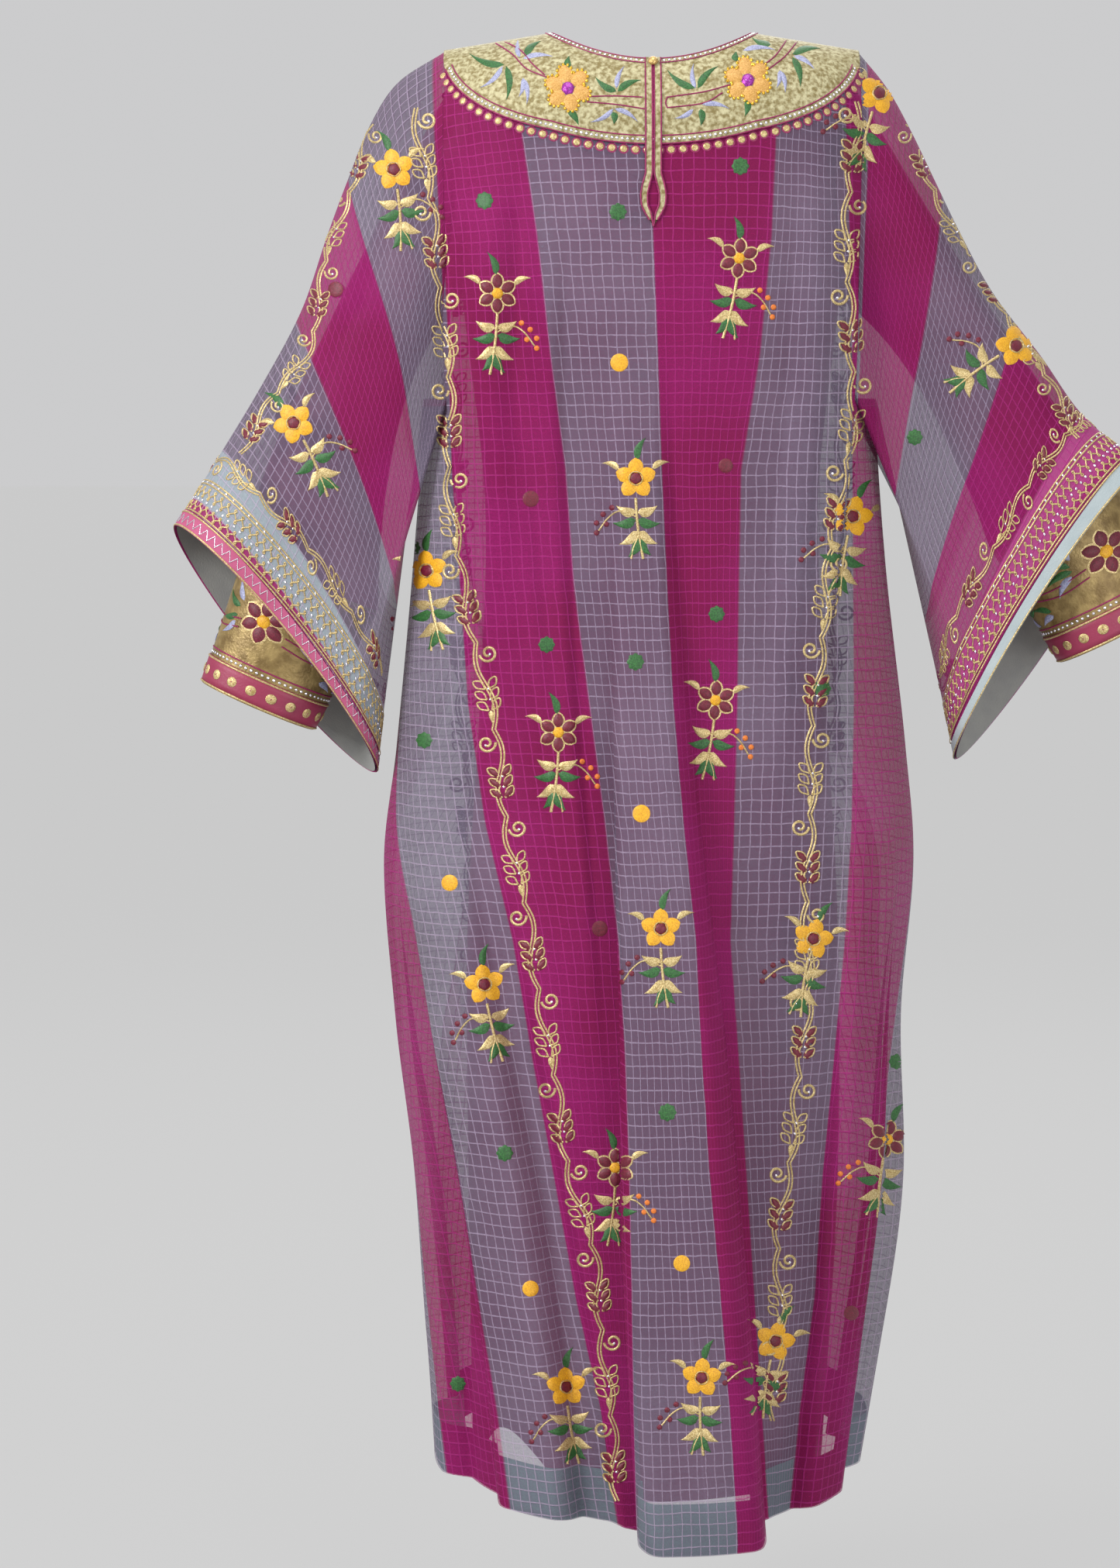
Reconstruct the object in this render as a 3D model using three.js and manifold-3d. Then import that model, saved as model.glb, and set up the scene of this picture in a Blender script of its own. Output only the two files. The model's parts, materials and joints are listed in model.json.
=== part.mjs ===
// A woman's thobe: a long, wide over-robe of sheer striped cloth with a gold yoke, a keyhole slit
// at the nape and wide sleeves, sewn over a plain under-dress with narrow sleeves and gold cuffs.
// It hangs as it does when worn, hollow, with both arms held a little out from the sides.
//
// Frame, in millimetres: the origin is midway between the two neck points of the shoulder line,
// +Z is up, -Y is the wearer's back, and +X is the wearer's right. "Down" is the distance below
// the shoulder line. "Around" numbers the seams of the robe's body: -1 and 1 are the back seams,
// 3 and 5 the front seams, 7 is -1 again, so 0 is the centre back and 4 the centre front.

import * as THREE from "three";
import Module from "manifold-3d";
import { mergeVertices } from "three/addons/utils/BufferGeometryUtils.js";

// Cloth
const ROBE_WALL = 1.3;
const UNDER_WALL = 1.2;
const YOKE_WALL = 1.3;
const FACING_WALL = 1.0;
const CUFF_WALL = 1.8;
const SEAM_GAP = 0.3;
const SHOULDER_HALF = 190; // from the centre to the shoulder seam's end
const BACK_WIDTH = 400; // rough width of the back, from which its seam allowance is shared
const GORE_WIDTH = 300; // rough width of a gore
const UNDER_QUARTER = 170; // rough width of a quarter of the under-dress
const SEAM_FACING = 0.35; // how far a seam's edge normal may turn before it is squared
const ELBOW_ACROSS = { out: 0.925, up: 0.38 };
const LAY_GAP = 0.35; // between a panel and what is sewn on it

// Lengths below the shoulder line
const BACK_LENGTH = 1352;
const FRONT_LENGTH = 1290;
const ROBE_ARMHOLE = 330;
const UNDER_ARMHOLE = 236;
const UNDER_HEM_BACK = 1306;
const UNDER_HEM_FRONT = 1250;
const HEM_TURNUP = 47;

// Shoulders, neckline and yoke
const SHOULDER_ROUND = 85; // depth over which the shoulder turns into the back
const NECK_HALF = 92;
const NECK_BACK = 27;
const NECK_FRONT = 78;
const SHOULDER_FALL = 16; // from the neck point to the armhole seam
const UNDER_DROP = 1.7; // the under-dress lies this far below the robe
const YOKE_BACK_DEPTH = 104; // centre back, from the shoulder line to the yoke's lower edge
const YOKE_FRONT_DEPTH = 166;
const YOKE_HALF = 189;
const SHOULDER_START = 0.0001; // leaves the front and back their seam gap at the shoulder

// Keyhole slit at the nape
const SLIT_WIDTH = 1.2;
const KEYHOLE_TOP = 132;
const KEYHOLE_BOTTOM = 164;
const KEYHOLE_HALF = 5;
const BINDING_WIDTH = 6;
const BINDING_TIP = 180;
const BINDING_INSET = 0.9; // from the slit's middle to the binding's inner edge
const CENTRE_HALF = 7.2; // half the width of the strip between the two halves of the back yoke
const BUTTON_RADIUS = 4.5;

// The robe's rings: half widths to the left and right, depths to the back and front, the sideways
// place of each back seam and of both front seams, and the power that squares the ring's corners.
const ROBE_RINGS = [
  { down: 0, left: 200, right: 200, back: 98, front: 98, seamL: 188, seamR: 188, frontSeam: 188, square: 3 },
  { down: 100, left: 202, right: 202, back: 104, front: 110, seamL: 188, seamR: 188, frontSeam: 188, square: 3 },
  { down: 200, left: 204, right: 203, back: 112, front: 122, seamL: 186, seamR: 186, frontSeam: 186, square: 3 },
  { down: 330, left: 207, right: 205, back: 113, front: 124, seamL: 183, seamR: 182, frontSeam: 183, square: 2.8 },
  { down: 480, left: 218, right: 216, back: 115, front: 122, seamL: 166, seamR: 168, frontSeam: 180, square: 2.5 },
  { down: 650, left: 234, right: 236, back: 124, front: 132, seamL: 140, seamR: 156, frontSeam: 176, square: 2.3 },
  { down: 760, left: 246, right: 244, back: 133, front: 146, seamL: 120, seamR: 148, frontSeam: 172, square: 2.2 },
  { down: 900, left: 230, right: 228, back: 142, front: 156, seamL: 98, seamR: 144, frontSeam: 160, square: 2.1 },
  { down: 1050, left: 202, right: 222, back: 150, front: 166, seamL: 74, seamR: 132, frontSeam: 146, square: 2 },
  { down: 1200, left: 186, right: 198, back: 158, front: 176, seamL: 50, seamR: 121, frontSeam: 134, square: 2 },
  { down: 1360, left: 176, right: 172, back: 164, front: 186, seamL: 28, seamR: 112, frontSeam: 124, square: 2 },
];

// The under-dress's rings, with its seams at the armholes only.
const UNDER_RINGS = [
  { down: 0, left: 178, right: 177, back: 89, front: 90, seamL: 165, seamR: 165, frontSeam: 165, square: 2.7 },
  { down: 100, left: 180, right: 178, back: 96, front: 102, seamL: 165, seamR: 165, frontSeam: 165, square: 2.7 },
  { down: 236, left: 172, right: 172, back: 101, front: 112, seamL: 158, seamR: 158, frontSeam: 158, square: 2.5 },
  { down: 420, left: 152, right: 154, back: 96, front: 106, seamL: 138, seamR: 140, frontSeam: 140, square: 2.3 },
  { down: 600, left: 156, right: 162, back: 100, front: 108, seamL: 140, seamR: 146, frontSeam: 144, square: 2.2 },
  { down: 800, left: 164, right: 174, back: 108, front: 116, seamL: 146, seamR: 156, frontSeam: 150, square: 2.1 },
  { down: 1050, left: 160, right: 176, back: 114, front: 124, seamL: 140, seamR: 156, frontSeam: 146, square: 2 },
  { down: 1320, left: 156, right: 162, back: 118, front: 130, seamL: 136, seamR: 142, frontSeam: 142, square: 2 },
];

// The robe's folds. Each runs from its place around at the top to its place at the hem, stands out by
// its rise, spreads at its crest by its flare and tips sideways by its lean. It grows from "starts" to
// "full" and dies away from "eases" to "ends".
const ROBE_FOLDS = [
  { name: "centre pleat", top: -0.06, hem: -0.02, halfTop: 28, halfHem: 48, rise: 68, flare: 22, lean: -12, starts: 190, full: 1180, eases: 1500, ends: 1600 },
  { name: "left shoulder fold", top: -0.78, hem: -0.8, halfTop: 36, halfHem: 30, rise: 17, flare: 6, lean: -12, starts: 70, full: 260, eases: 380, ends: 700 },
  { name: "right shoulder fold", top: 0.8, hem: 0.82, halfTop: 34, halfHem: 30, rise: 13, flare: 4, lean: 9, starts: 80, full: 260, eases: 420, ends: 720 },
  { name: "left back ripple", top: -0.52, hem: -0.74, halfTop: 26, halfHem: 14, rise: 7, flare: 2, lean: 0, starts: 120, full: 300, eases: 620, ends: 1000 },
  { name: "left gore fold", top: -1.5, hem: -1.42, halfTop: 40, halfHem: 42, rise: 20, flare: 9, lean: 3, starts: 560, full: 1100, eases: 1500, ends: 1600 },
  { name: "left gore valley", top: -1.18, hem: -1.12, halfTop: 26, halfHem: 30, rise: -12, flare: 0, lean: 0, starts: 640, full: 1000, eases: 1500, ends: 1600 },
  { name: "right gore fold", top: 1.42, hem: 1.4, halfTop: 36, halfHem: 36, rise: 18, flare: 8, lean: -3, starts: 560, full: 1050, eases: 1500, ends: 1600 },
  { name: "left side fold", top: -2.05, hem: -2.12, halfTop: 40, halfHem: 42, rise: 22, flare: 9, lean: 0, starts: 740, full: 1200, eases: 1500, ends: 1600 },
  { name: "right side fold", top: 2.05, hem: 2.1, halfTop: 40, halfHem: 42, rise: 20, flare: 8, lean: 0, starts: 740, full: 1200, eases: 1500, ends: 1600 },
  { name: "right front gore fold", top: 2.62, hem: 2.66, halfTop: 34, halfHem: 38, rise: 20, flare: 9, lean: 0, starts: 560, full: 1100, eases: 1500, ends: 1600 },
  { name: "left front gore fold", top: 5.36, hem: 5.32, halfTop: 34, halfHem: 38, rise: 20, flare: 9, lean: 0, starts: 560, full: 1100, eases: 1500, ends: 1600 },
  { name: "right front pleat", top: 3.5, hem: 3.38, halfTop: 30, halfHem: 38, rise: 34, flare: 14, lean: 0, starts: 360, full: 1180, eases: 1500, ends: 1600 },
  { name: "centre front pleat", top: 4.02, hem: 4.0, halfTop: 34, halfHem: 44, rise: 46, flare: 20, lean: -3, starts: 300, full: 1180, eases: 1500, ends: 1600 },
  { name: "left front pleat", top: 4.5, hem: 4.62, halfTop: 30, halfHem: 38, rise: 34, flare: 14, lean: 0, starts: 360, full: 1180, eases: 1500, ends: 1600 },
];

// The under-dress falls straight, with a few shallow waves.
const UNDER_FOLDS = [
  { name: "back wave", top: -0.3, hem: -0.4, halfTop: 40, halfHem: 50, rise: 9, flare: 0, lean: 0, starts: 500, full: 1100, eases: 1500, ends: 1600 },
  { name: "left back wave", top: -1.6, hem: -1.6, halfTop: 40, halfHem: 46, rise: 9, flare: 0, lean: 0, starts: 500, full: 1100, eases: 1500, ends: 1600 },
  { name: "right back wave", top: 0.8, hem: 0.9, halfTop: 40, halfHem: 46, rise: 9, flare: 0, lean: 0, starts: 500, full: 1100, eases: 1500, ends: 1600 },
  { name: "right front wave", top: 3.2, hem: 3.2, halfTop: 40, halfHem: 46, rise: 9, flare: 0, lean: 0, starts: 500, full: 1100, eases: 1500, ends: 1600 },
  { name: "left front wave", top: 4.7, hem: 4.7, halfTop: 40, halfHem: 46, rise: 9, flare: 0, lean: 0, starts: 500, full: 1100, eases: 1500, ends: 1600 },
];

// Each arm. The wide sleeve's hem runs from its ridge to its lowest point. The narrow sleeve passes the
// elbow and ends in a cuff that tapers along the forearm. "Out" is the distance from the middle.
const ARMS = {
  left: {
    side: -1,
    hemRidge: { out: 437, up: -447 },
    hemLow: { out: 254, up: -674 },
    elbow: { out: 274, up: -330 },
    wrist: { out: 362, up: -612 },
    forearm: { out: 0.4, up: -0.917 },
  },
  right: {
    side: 1,
    hemRidge: { out: 455, up: -392 },
    hemLow: { out: 283, up: -662 },
    elbow: { out: 292, up: -304 },
    wrist: { out: 428, up: -547 },
    forearm: { out: 0.45, up: -0.893 },
  },
};

// How far the sleeve's ridge stands out from the straight line between its two ends.
const RIDGE_BOW = [
  { along: 0, left: 0, right: 0 },
  { along: 0.09, left: 23, right: 3 },
  { along: 0.18, left: 26, right: -1 },
  { along: 0.29, left: 19, right: -9 },
  { along: 0.4, left: 10, right: -17 },
  { along: 0.54, left: -3, right: -24 },
  { along: 0.7, left: -5, right: -21 },
  { along: 0.85, left: -3, right: -20 },
  { along: 1, left: 0, right: 0 },
];
const SLEEVE_HALF_DEPTH = 66;
const SLEEVE_SKEW = 24; // the near edge of the hem is drawn up and the far edge hangs lower
const SLEEVE_RIPPLES = 3;
const SLEEVE_RIPPLE_RISE = 5;
const ARMPIT_GAP = 1.1;
const ARMHOLE_EDGE = 0.36; // the share of the armhole that lies along one panel's edge
const SLEEVE_FACING = 0.16; // shares of the sleeve's length
const SLEEVE_EDGE = 0.035;
const EDGE_STRIP_WALL = 0.8;
const NARROW_HALF = { wide: 48, deep: 42 };
const CUFF_LENGTH = 125;
const CUFF_BAND = 27;
const CUFF_TOP = { wide: 67, deep: 43 };
const CUFF_END = { wide: 56, deep: 38 };

// Grid sizes
const GRID = {
  backShoulder: 7,
  backNeck: 6,
  frontShoulder: 5,
  frontNeck: 6,
  yokeRows: 6,
  chestRows: 6,
  gore: 13,
  goreRows: 16,
  sleeveRound: 26,
  sleeveRows: 10,
  underNeck: 4,
  underShoulder: 3,
  bodiceRows: 6,
  skirtRows: 5,
  narrowRound: 16,
  narrowRows: 6,
};

const COLOURS = {
  robe: 0xc2508f,
  turnup: 0x7f8f96,
  gold: 0xc2ab62,
  magenta: 0xa32a67,
  under: 0xb03a86,
};

const cloth = (colour, roughness = 0.85) =>
  new THREE.MeshStandardMaterial({ color: colour, roughness, metalness: 0 });
const MATERIALS = {
  robe: cloth(COLOURS.robe),
  turnup: cloth(COLOURS.turnup),
  gold: cloth(COLOURS.gold, 0.45),
  magenta: cloth(COLOURS.magenta, 0.6),
  under: cloth(COLOURS.under, 0.7),
};

const mix = (a, b, t) => a + (b - a) * t;
const clamp = (x, low, high) => Math.min(high, Math.max(low, x));
const ease = (from, to, x) => {
  const t = clamp((x - from) / (to - from), 0, 1);
  return t * t * (3 - 2 * t);
};

// A column of a table at any place along it, on a smooth curve through the rows.
function read(rows, key, column, at) {
  let k = rows.findIndex((row) => row[key] > at) - 1;
  if (k < -1) k = rows.length - 2;
  k = clamp(k, 0, rows.length - 2);
  const value = (i) => rows[clamp(i, 0, rows.length - 1)];
  const slope = (i) => {
    const before = value(i - 1);
    const after = value(i + 1);
    return (after[column] - before[column]) / (after[key] - before[key]);
  };
  const [a, b] = [rows[k], rows[k + 1]];
  const span = b[key] - a[key];
  const t = clamp((at - a[key]) / span, 0, 1);
  const [t2, t3] = [t * t, t * t * t];
  return (
    (2 * t3 - 3 * t2 + 1) * a[column] +
    (t3 - 2 * t2 + t) * span * slope(k) +
    (3 * t2 - 2 * t3) * b[column] +
    (t3 - t2) * span * slope(k + 1)
  );
}

// One ring of a garment's body at a depth below the shoulders: an outline squared at its corners, with
// the distance along it from the left back seam, and where each seam comes.
const RING_STEPS = 240;
function makeRing(rings, down) {
  const at = (column) => read(rings, "down", column, down);
  const [left, right, back, front, power] = ["left", "right", "back", "front", "square"].map(at);
  const outline = (turn) => {
    const [s, c] = [Math.sin(turn), Math.cos(turn)];
    const [wide, deep] = [s < 0 ? left : right, c > 0 ? back : front];
    const squared = (v) => Math.sign(v) * Math.abs(v) ** (2 / power);
    return { x: wide * squared(s), y: -deep * squared(c) };
  };
  const seamTurn = (column, wide) => Math.asin(clamp(at(column) / wide, 0, 1) ** (power / 2));
  const turns = [
    -seamTurn("seamL", left),
    seamTurn("seamR", right),
    Math.PI - seamTurn("frontSeam", right),
    Math.PI + seamTurn("frontSeam", left),
    2 * Math.PI - seamTurn("seamL", left),
  ];
  const points = [];
  const lengths = [0];
  for (let i = 0; i <= RING_STEPS; i++) {
    points.push(outline(turns[0] + (2 * Math.PI * i) / RING_STEPS));
    if (i) {
      const [p, q] = [points[i - 1], points[i]];
      lengths.push(lengths[i - 1] + Math.hypot(q.x - p.x, q.y - p.y));
    }
  }
  const lengthAt = (turn) => {
    const place = ((turn - turns[0]) / (2 * Math.PI)) * RING_STEPS;
    const i = clamp(Math.floor(place), 0, RING_STEPS - 1);
    return mix(lengths[i], lengths[i + 1], place - i);
  };
  return { points, lengths, seams: turns.map(lengthAt), total: lengths[RING_STEPS] };
}

const ringCache = new Map();
function ringAt(rings, down) {
  const key = `${rings === ROBE_RINGS}${down.toFixed(3)}`;
  if (!ringCache.has(key)) ringCache.set(key, makeRing(rings, down));
  return ringCache.get(key);
}

// Distance along a ring of a place around the body, and the point and direction there.
function lengthAround(ring, around) {
  const turn = ((((around + 1) % 8) + 8) % 8) / 2;
  const k = Math.min(Math.floor(turn), 3);
  return mix(ring.seams[k], ring.seams[k + 1], turn - k);
}

function alongRing(ring, length) {
  const s = ((length % ring.total) + ring.total) % ring.total;
  let [low, high] = [0, RING_STEPS];
  while (high - low > 1) {
    const middle = (low + high) >> 1;
    if (ring.lengths[middle] <= s) low = middle;
    else high = middle;
  }
  const [p, q] = [ring.points[low], ring.points[high]];
  const span = ring.lengths[high] - ring.lengths[low];
  const t = (s - ring.lengths[low]) / span;
  return { x: mix(p.x, q.x, t), y: mix(p.y, q.y, t) };
}

// A point of a garment's body with its folds, at a place around it and a depth below the shoulders.
const TANGENT_REACH = 6;
function bodyPoint(rings, folds, around, down, drop = 0) {
  const ring = ringAt(rings, down);
  const length = lengthAround(ring, around);
  const base = alongRing(ring, length);
  const ahead = alongRing(ring, length + TANGENT_REACH);
  const behind = alongRing(ring, length - TANGENT_REACH);
  const reach = Math.hypot(ahead.x - behind.x, ahead.y - behind.y);
  const [tx, ty] = [(ahead.x - behind.x) / reach, (ahead.y - behind.y) / reach];
  let [out, across] = [0, 0];
  for (const fold of folds) {
    const strength =
      ease(fold.starts, fold.full, down) * (1 - ease(fold.eases, fold.ends, down));
    if (strength === 0) continue;
    const along = ease(fold.starts, BACK_LENGTH, down);
    let offset = length - lengthAround(ring, mix(fold.top, fold.hem, along));
    if (offset > ring.total / 2) offset -= ring.total;
    if (offset < -ring.total / 2) offset += ring.total;
    const q = offset / mix(fold.halfTop, fold.halfHem, along);
    const crest = 1 - ease(0.35, 1, Math.abs(q));
    const shoulder = ease(0, 0.5, Math.abs(q)) * (1 - ease(0.62, 1.15, Math.abs(q)));
    out += strength * fold.rise * crest;
    across += strength * (fold.lean * crest + fold.flare * Math.sign(q) * shoulder);
  }
  const x = base.x + ty * out + tx * across;
  const y = base.y - tx * out + ty * across;
  const rounding = Math.sqrt(1 - (1 - Math.min(down / SHOULDER_ROUND, 1)) ** 2);
  const slope = (SHOULDER_FALL * Math.max(0, Math.abs(base.x) - NECK_HALF)) / (SHOULDER_HALF - NECK_HALF);
  const z = -down - drop - slope * (1 - ease(0, 260, down));
  return new THREE.Vector3(x, y * rounding, z);
}

const robePoint = (around, down) => bodyPoint(ROBE_RINGS, ROBE_FOLDS, around, down);
const underPoint = (around, down) => bodyPoint(UNDER_RINGS, UNDER_FOLDS, around, down, UNDER_DROP);

// The depth of the neckline below the shoulder line, at a sideways place.
function neckline(x, depth) {
  const share = Math.min(Math.abs(x) / NECK_HALF, 1);
  return Math.max(SHOULDER_START, depth * (1 - share * share));
}

// The yoke's lower edge, an arc from armhole to armhole.
function yokeEdge(x, depth) {
  const share = Math.min(Math.abs(x) / YOKE_HALF, 1);
  return Math.max(4, depth * Math.sqrt(1 - share * share));
}

// The place around the body where the shoulder line is a given distance to one side.
function aroundForX(point, x, [low, high]) {
  const rising = point(high, 0).x > point(low, 0).x;
  for (let i = 0; i < 40; i++) {
    const middle = (low + high) / 2;
    if (point(middle, 0).x < x === rising) low = middle;
    else high = middle;
  }
  return (low + high) / 2;
}

// A closed cloth wall: a grid of points on its outer face, and the same grid moved in by its thickness.
// point(u, v) has u and v from 0 to 1. A wall that is closed round joins its last column to its first.
const NORMAL_REACH = 0.004;
function clothWall(point, columns, rows, thickness, options = {}) {
  const { closedRound = false, flip = false, lift = 0, squared = (normal) => normal } = options;
  const us = Array.isArray(columns) ? columns : steps(columns);
  const vs = Array.isArray(rows) ? rows : steps(rows);
  const wide = closedRound ? us.length - 1 : us.length;
  const normalAt = (u, v) => {
    const along = point(u + NORMAL_REACH, v).sub(point(u - NORMAL_REACH, v));
    const down = point(u, v + NORMAL_REACH).sub(point(u, Math.max(0, v - NORMAL_REACH)));
    const normal = along.cross(down).multiplyScalar(flip ? 1 : -1).normalize();
    return squared(normal, v);
  };
  const outer = [];
  const inner = [];
  for (const v of vs) {
    for (let i = 0; i < wide; i++) {
      const p = point(us[i], v);
      const n = normalAt(us[i], v);
      outer.push(p.clone().addScaledVector(n, lift));
      inner.push(p.clone().addScaledVector(n, lift - thickness));
    }
  }
  const positions = [...outer, ...inner].flatMap((p) => [p.x, p.y, p.z]);
  const triangles = [];
  const quad = (a, b, c, d) => {
    if (flip) triangles.push(a, c, b, a, d, c);
    else triangles.push(a, b, c, a, c, d);
  };
  const layer = wide * vs.length;
  const at = (i, j) => j * wide + (i % wide);
  const spans = closedRound ? wide : wide - 1;
  for (let j = 0; j + 1 < vs.length; j++) {
    for (let i = 0; i < spans; i++) {
      quad(at(i, j), at(i, j + 1), at(i + 1, j + 1), at(i + 1, j));
      quad(layer + at(i, j), layer + at(i + 1, j), layer + at(i + 1, j + 1), layer + at(i, j + 1));
    }
  }
  const last = vs.length - 1;
  for (let i = 0; i < spans; i++) {
    quad(at(i, 0), at(i + 1, 0), layer + at(i + 1, 0), layer + at(i, 0));
    quad(at(i + 1, last), at(i, last), layer + at(i, last), layer + at(i + 1, last));
  }
  if (!closedRound) {
    for (let j = 0; j < last; j++) {
      quad(at(0, j + 1), at(0, j), layer + at(0, j), layer + at(0, j + 1));
      quad(at(spans, j), at(spans, j + 1), layer + at(spans, j + 1), layer + at(spans, j));
    }
  }
  const geometry = new THREE.BufferGeometry();
  geometry.setAttribute("position", new THREE.Float32BufferAttribute(positions, 3));
  geometry.setIndex(triangles);
  geometry.computeVertexNormals();
  return geometry;
}

function steps(count) {
  return Array.from({ length: count + 1 }, (_, i) => i / count);
}

const group = new THREE.Group();
function add(name, geometry, material) {
  const mesh = new THREE.Mesh(geometry, material);
  mesh.name = name;
  group.add(mesh);
  return mesh;
}

// The hem hangs lowest at the centre back and rises to the front.
function hemDown(around, back, front) {
  const turn = ((((around % 8) + 8) % 8) / 8) * 2 * Math.PI;
  return mix(front, back, (1 + Math.cos(turn)) / 2);
}
const robeHem = (around) => hemDown(around, BACK_LENGTH, FRONT_LENGTH);

// Columns for a panel, as shares of its width: its shoulders, each side of its neckline, and the narrow
// strip in its middle.
function panelColumns(places, counts) {
  const stretches = [0, ...places, 1];
  return stretches.slice(1).flatMap((end, k) => {
    const inside = steps(counts[k]).map((t) => mix(stretches[k], end, t));
    return k ? inside.slice(1) : inside;
  });
}

// Depth below the shoulders on a panel, by share of its length: first to the yoke's edge, then to the
// level of the underarm, the top of the hem's turn-up, and the hem.
const YOKE_SHARE = 0.2;
const ARMHOLE_SHARE = 0.4;
const TURNUP_SHARE = 0.95;
const ROW_POWER = 1.4; // rows lie closer together at the shoulders
function panelDown(around, start, edge, v) {
  const hem = robeHem(around);
  if (v < YOKE_SHARE) return mix(start, edge, (v / YOKE_SHARE) ** ROW_POWER);
  if (v < ARMHOLE_SHARE) {
    const chest = (v - YOKE_SHARE) / (ARMHOLE_SHARE - YOKE_SHARE);
    return mix(edge, ROBE_ARMHOLE, chest ** mix(1.5, 1, edge / ROBE_ARMHOLE));
  }
  const skirt = (v - ARMHOLE_SHARE) / (TURNUP_SHARE - ARMHOLE_SHARE);
  if (skirt < 1) return mix(ROBE_ARMHOLE, hem - HEM_TURNUP, skirt);
  return mix(hem - HEM_TURNUP, hem, (v - TURNUP_SHARE) / (1 - TURNUP_SHARE));
}
const yokeRows = steps(GRID.yokeRows).map((v) => v * YOKE_SHARE);
const chestRows = steps(GRID.chestRows).map((v) => mix(YOKE_SHARE, ARMHOLE_SHARE, v));
const skirtRows = steps(GRID.goreRows).map((v) => mix(ARMHOLE_SHARE, TURNUP_SHARE, v));

// One panel of the robe's body: its surface, its columns and its rows.
function bodyPanel(first, last, neckDepth, yokeDepth, shoulderCount, neckCount) {
  const seamShare = SEAM_GAP / 2 / BACK_WIDTH;
  const [from, to] = [mix(first, last, seamShare), mix(last, first, seamShare)];
  const direction = last > 2 ? -1 : 1;
  const placeOf = (x) => (aroundForX(robePoint, direction * x, [from, to]) - from) / (to - from);
  const surface = (u, v) => {
    const around = mix(from, to, u);
    const x = robePoint(around, 0).x;
    const [start, edge] = [neckline(x, neckDepth), yokeEdge(x, yokeDepth)];
    return robePoint(around, panelDown(around, start, edge, v));
  };
  const places = [-NECK_HALF, -CENTRE_HALF, CENTRE_HALF, NECK_HALF].map(placeOf);
  const counts = [shoulderCount, neckCount, 1, neckCount, shoulderCount];
  const columns = panelColumns(places, counts);
  return { surface, columns, places, placeOf, rows: [...yokeRows, ...chestRows.slice(1), ...skirtRows.slice(1), 1] };
}
const panelWall = (panel) => clothWall(panel.surface, panel.columns, panel.rows, ROBE_WALL);

// Back panel, with the slit and keyhole cut through below the nape.
const wasm = await Module();
wasm.setup();

function toSolid(geometry) {
  const bare = geometry.index ? geometry.toNonIndexed() : geometry.clone();
  for (const name of Object.keys(bare.attributes)) if (name !== "position") bare.deleteAttribute(name);
  const merged = mergeVertices(bare, 1e-3);
  return new wasm.Manifold(
    new wasm.Mesh({
      numProp: 3,
      vertProperties: merged.attributes.position.array,
      triVerts: new Uint32Array(merged.index.array),
    }),
  );
}

function fromSolid(solid) {
  const mesh = solid.getMesh();
  const geometry = new THREE.BufferGeometry();
  geometry.setAttribute("position", new THREE.Float32BufferAttribute(mesh.vertProperties, mesh.numProp));
  geometry.setIndex(new THREE.Uint32BufferAttribute(mesh.triVerts, 1));
  geometry.computeVertexNormals();
  return geometry;
}

function slitCutter() {
  const outline = new THREE.Shape();
  const half = SLIT_WIDTH / 2;
  const waist = -mix(KEYHOLE_TOP, KEYHOLE_BOTTOM, 0.6);
  outline.moveTo(-half, 20);
  outline.lineTo(-half, -KEYHOLE_TOP);
  outline.quadraticCurveTo(-KEYHOLE_HALF, waist + 12, -KEYHOLE_HALF, waist);
  outline.quadraticCurveTo(-KEYHOLE_HALF, -KEYHOLE_BOTTOM, 0, -KEYHOLE_BOTTOM);
  outline.quadraticCurveTo(KEYHOLE_HALF, -KEYHOLE_BOTTOM, KEYHOLE_HALF, waist);
  outline.quadraticCurveTo(KEYHOLE_HALF, waist + 12, half, -KEYHOLE_TOP);
  outline.lineTo(half, 20);
  outline.closePath();
  const cutter = new THREE.ExtrudeGeometry(outline, { depth: 160, bevelEnabled: false, curveSegments: 4 });
  cutter.rotateX(Math.PI / 2);
  return cutter.translate(0, -30, 0);
}

const backPanel = bodyPanel(-1, 1, NECK_BACK, YOKE_BACK_DEPTH, GRID.backShoulder, GRID.backNeck);
const cutBack = toSolid(panelWall(backPanel)).subtract(toSolid(slitCutter()));
add("back_panel", fromSolid(cutBack), MATERIALS.robe);

// Front panel, whole.
const frontPanel = bodyPanel(3, 5, NECK_FRONT, YOKE_FRONT_DEPTH, GRID.frontShoulder, GRID.frontNeck);
add("front_panel", panelWall(frontPanel), MATERIALS.robe);

// Yoke: two halves over the back, beside the slit's binding, and one piece over the front.
function yoke(panel, from, to) {
  const columns = panel.columns.filter((u) => u >= from - 1e-9 && u <= to + 1e-9);
  return clothWall(panel.surface, columns, yokeRows, YOKE_WALL, { lift: LAY_GAP + YOKE_WALL });
}
add("yoke_back_left", yoke(backPanel, 0, backPanel.places[1]), MATERIALS.gold);
add("yoke_back_right", yoke(backPanel, backPanel.places[2], 1), MATERIALS.gold);
add("yoke_front", yoke(frontPanel, 0, 1), MATERIALS.gold);

// Side gores, from under the arm to the hem, between a back seam and a front seam.
function gore(first, last) {
  const seamShare = SEAM_GAP / 2 / GORE_WIDTH;
  const surface = (u, v) => {
    const around = mix(first, last, mix(seamShare, 1 - seamShare, u));
    const down = panelDown(around, 0, 0, Math.max(v, ARMHOLE_SHARE));
    return robePoint(around, Math.max(ROBE_ARMHOLE + SEAM_GAP, down));
  };
  return { surface, columns: steps(GRID.gore), rows: [...skirtRows, 1] };
}
const goreRight = gore(1, 3);
const goreLeft = gore(5, 7);
add("side_gore_right", panelWall(goreRight), MATERIALS.robe);
add("side_gore_left", panelWall(goreLeft), MATERIALS.robe);

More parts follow.
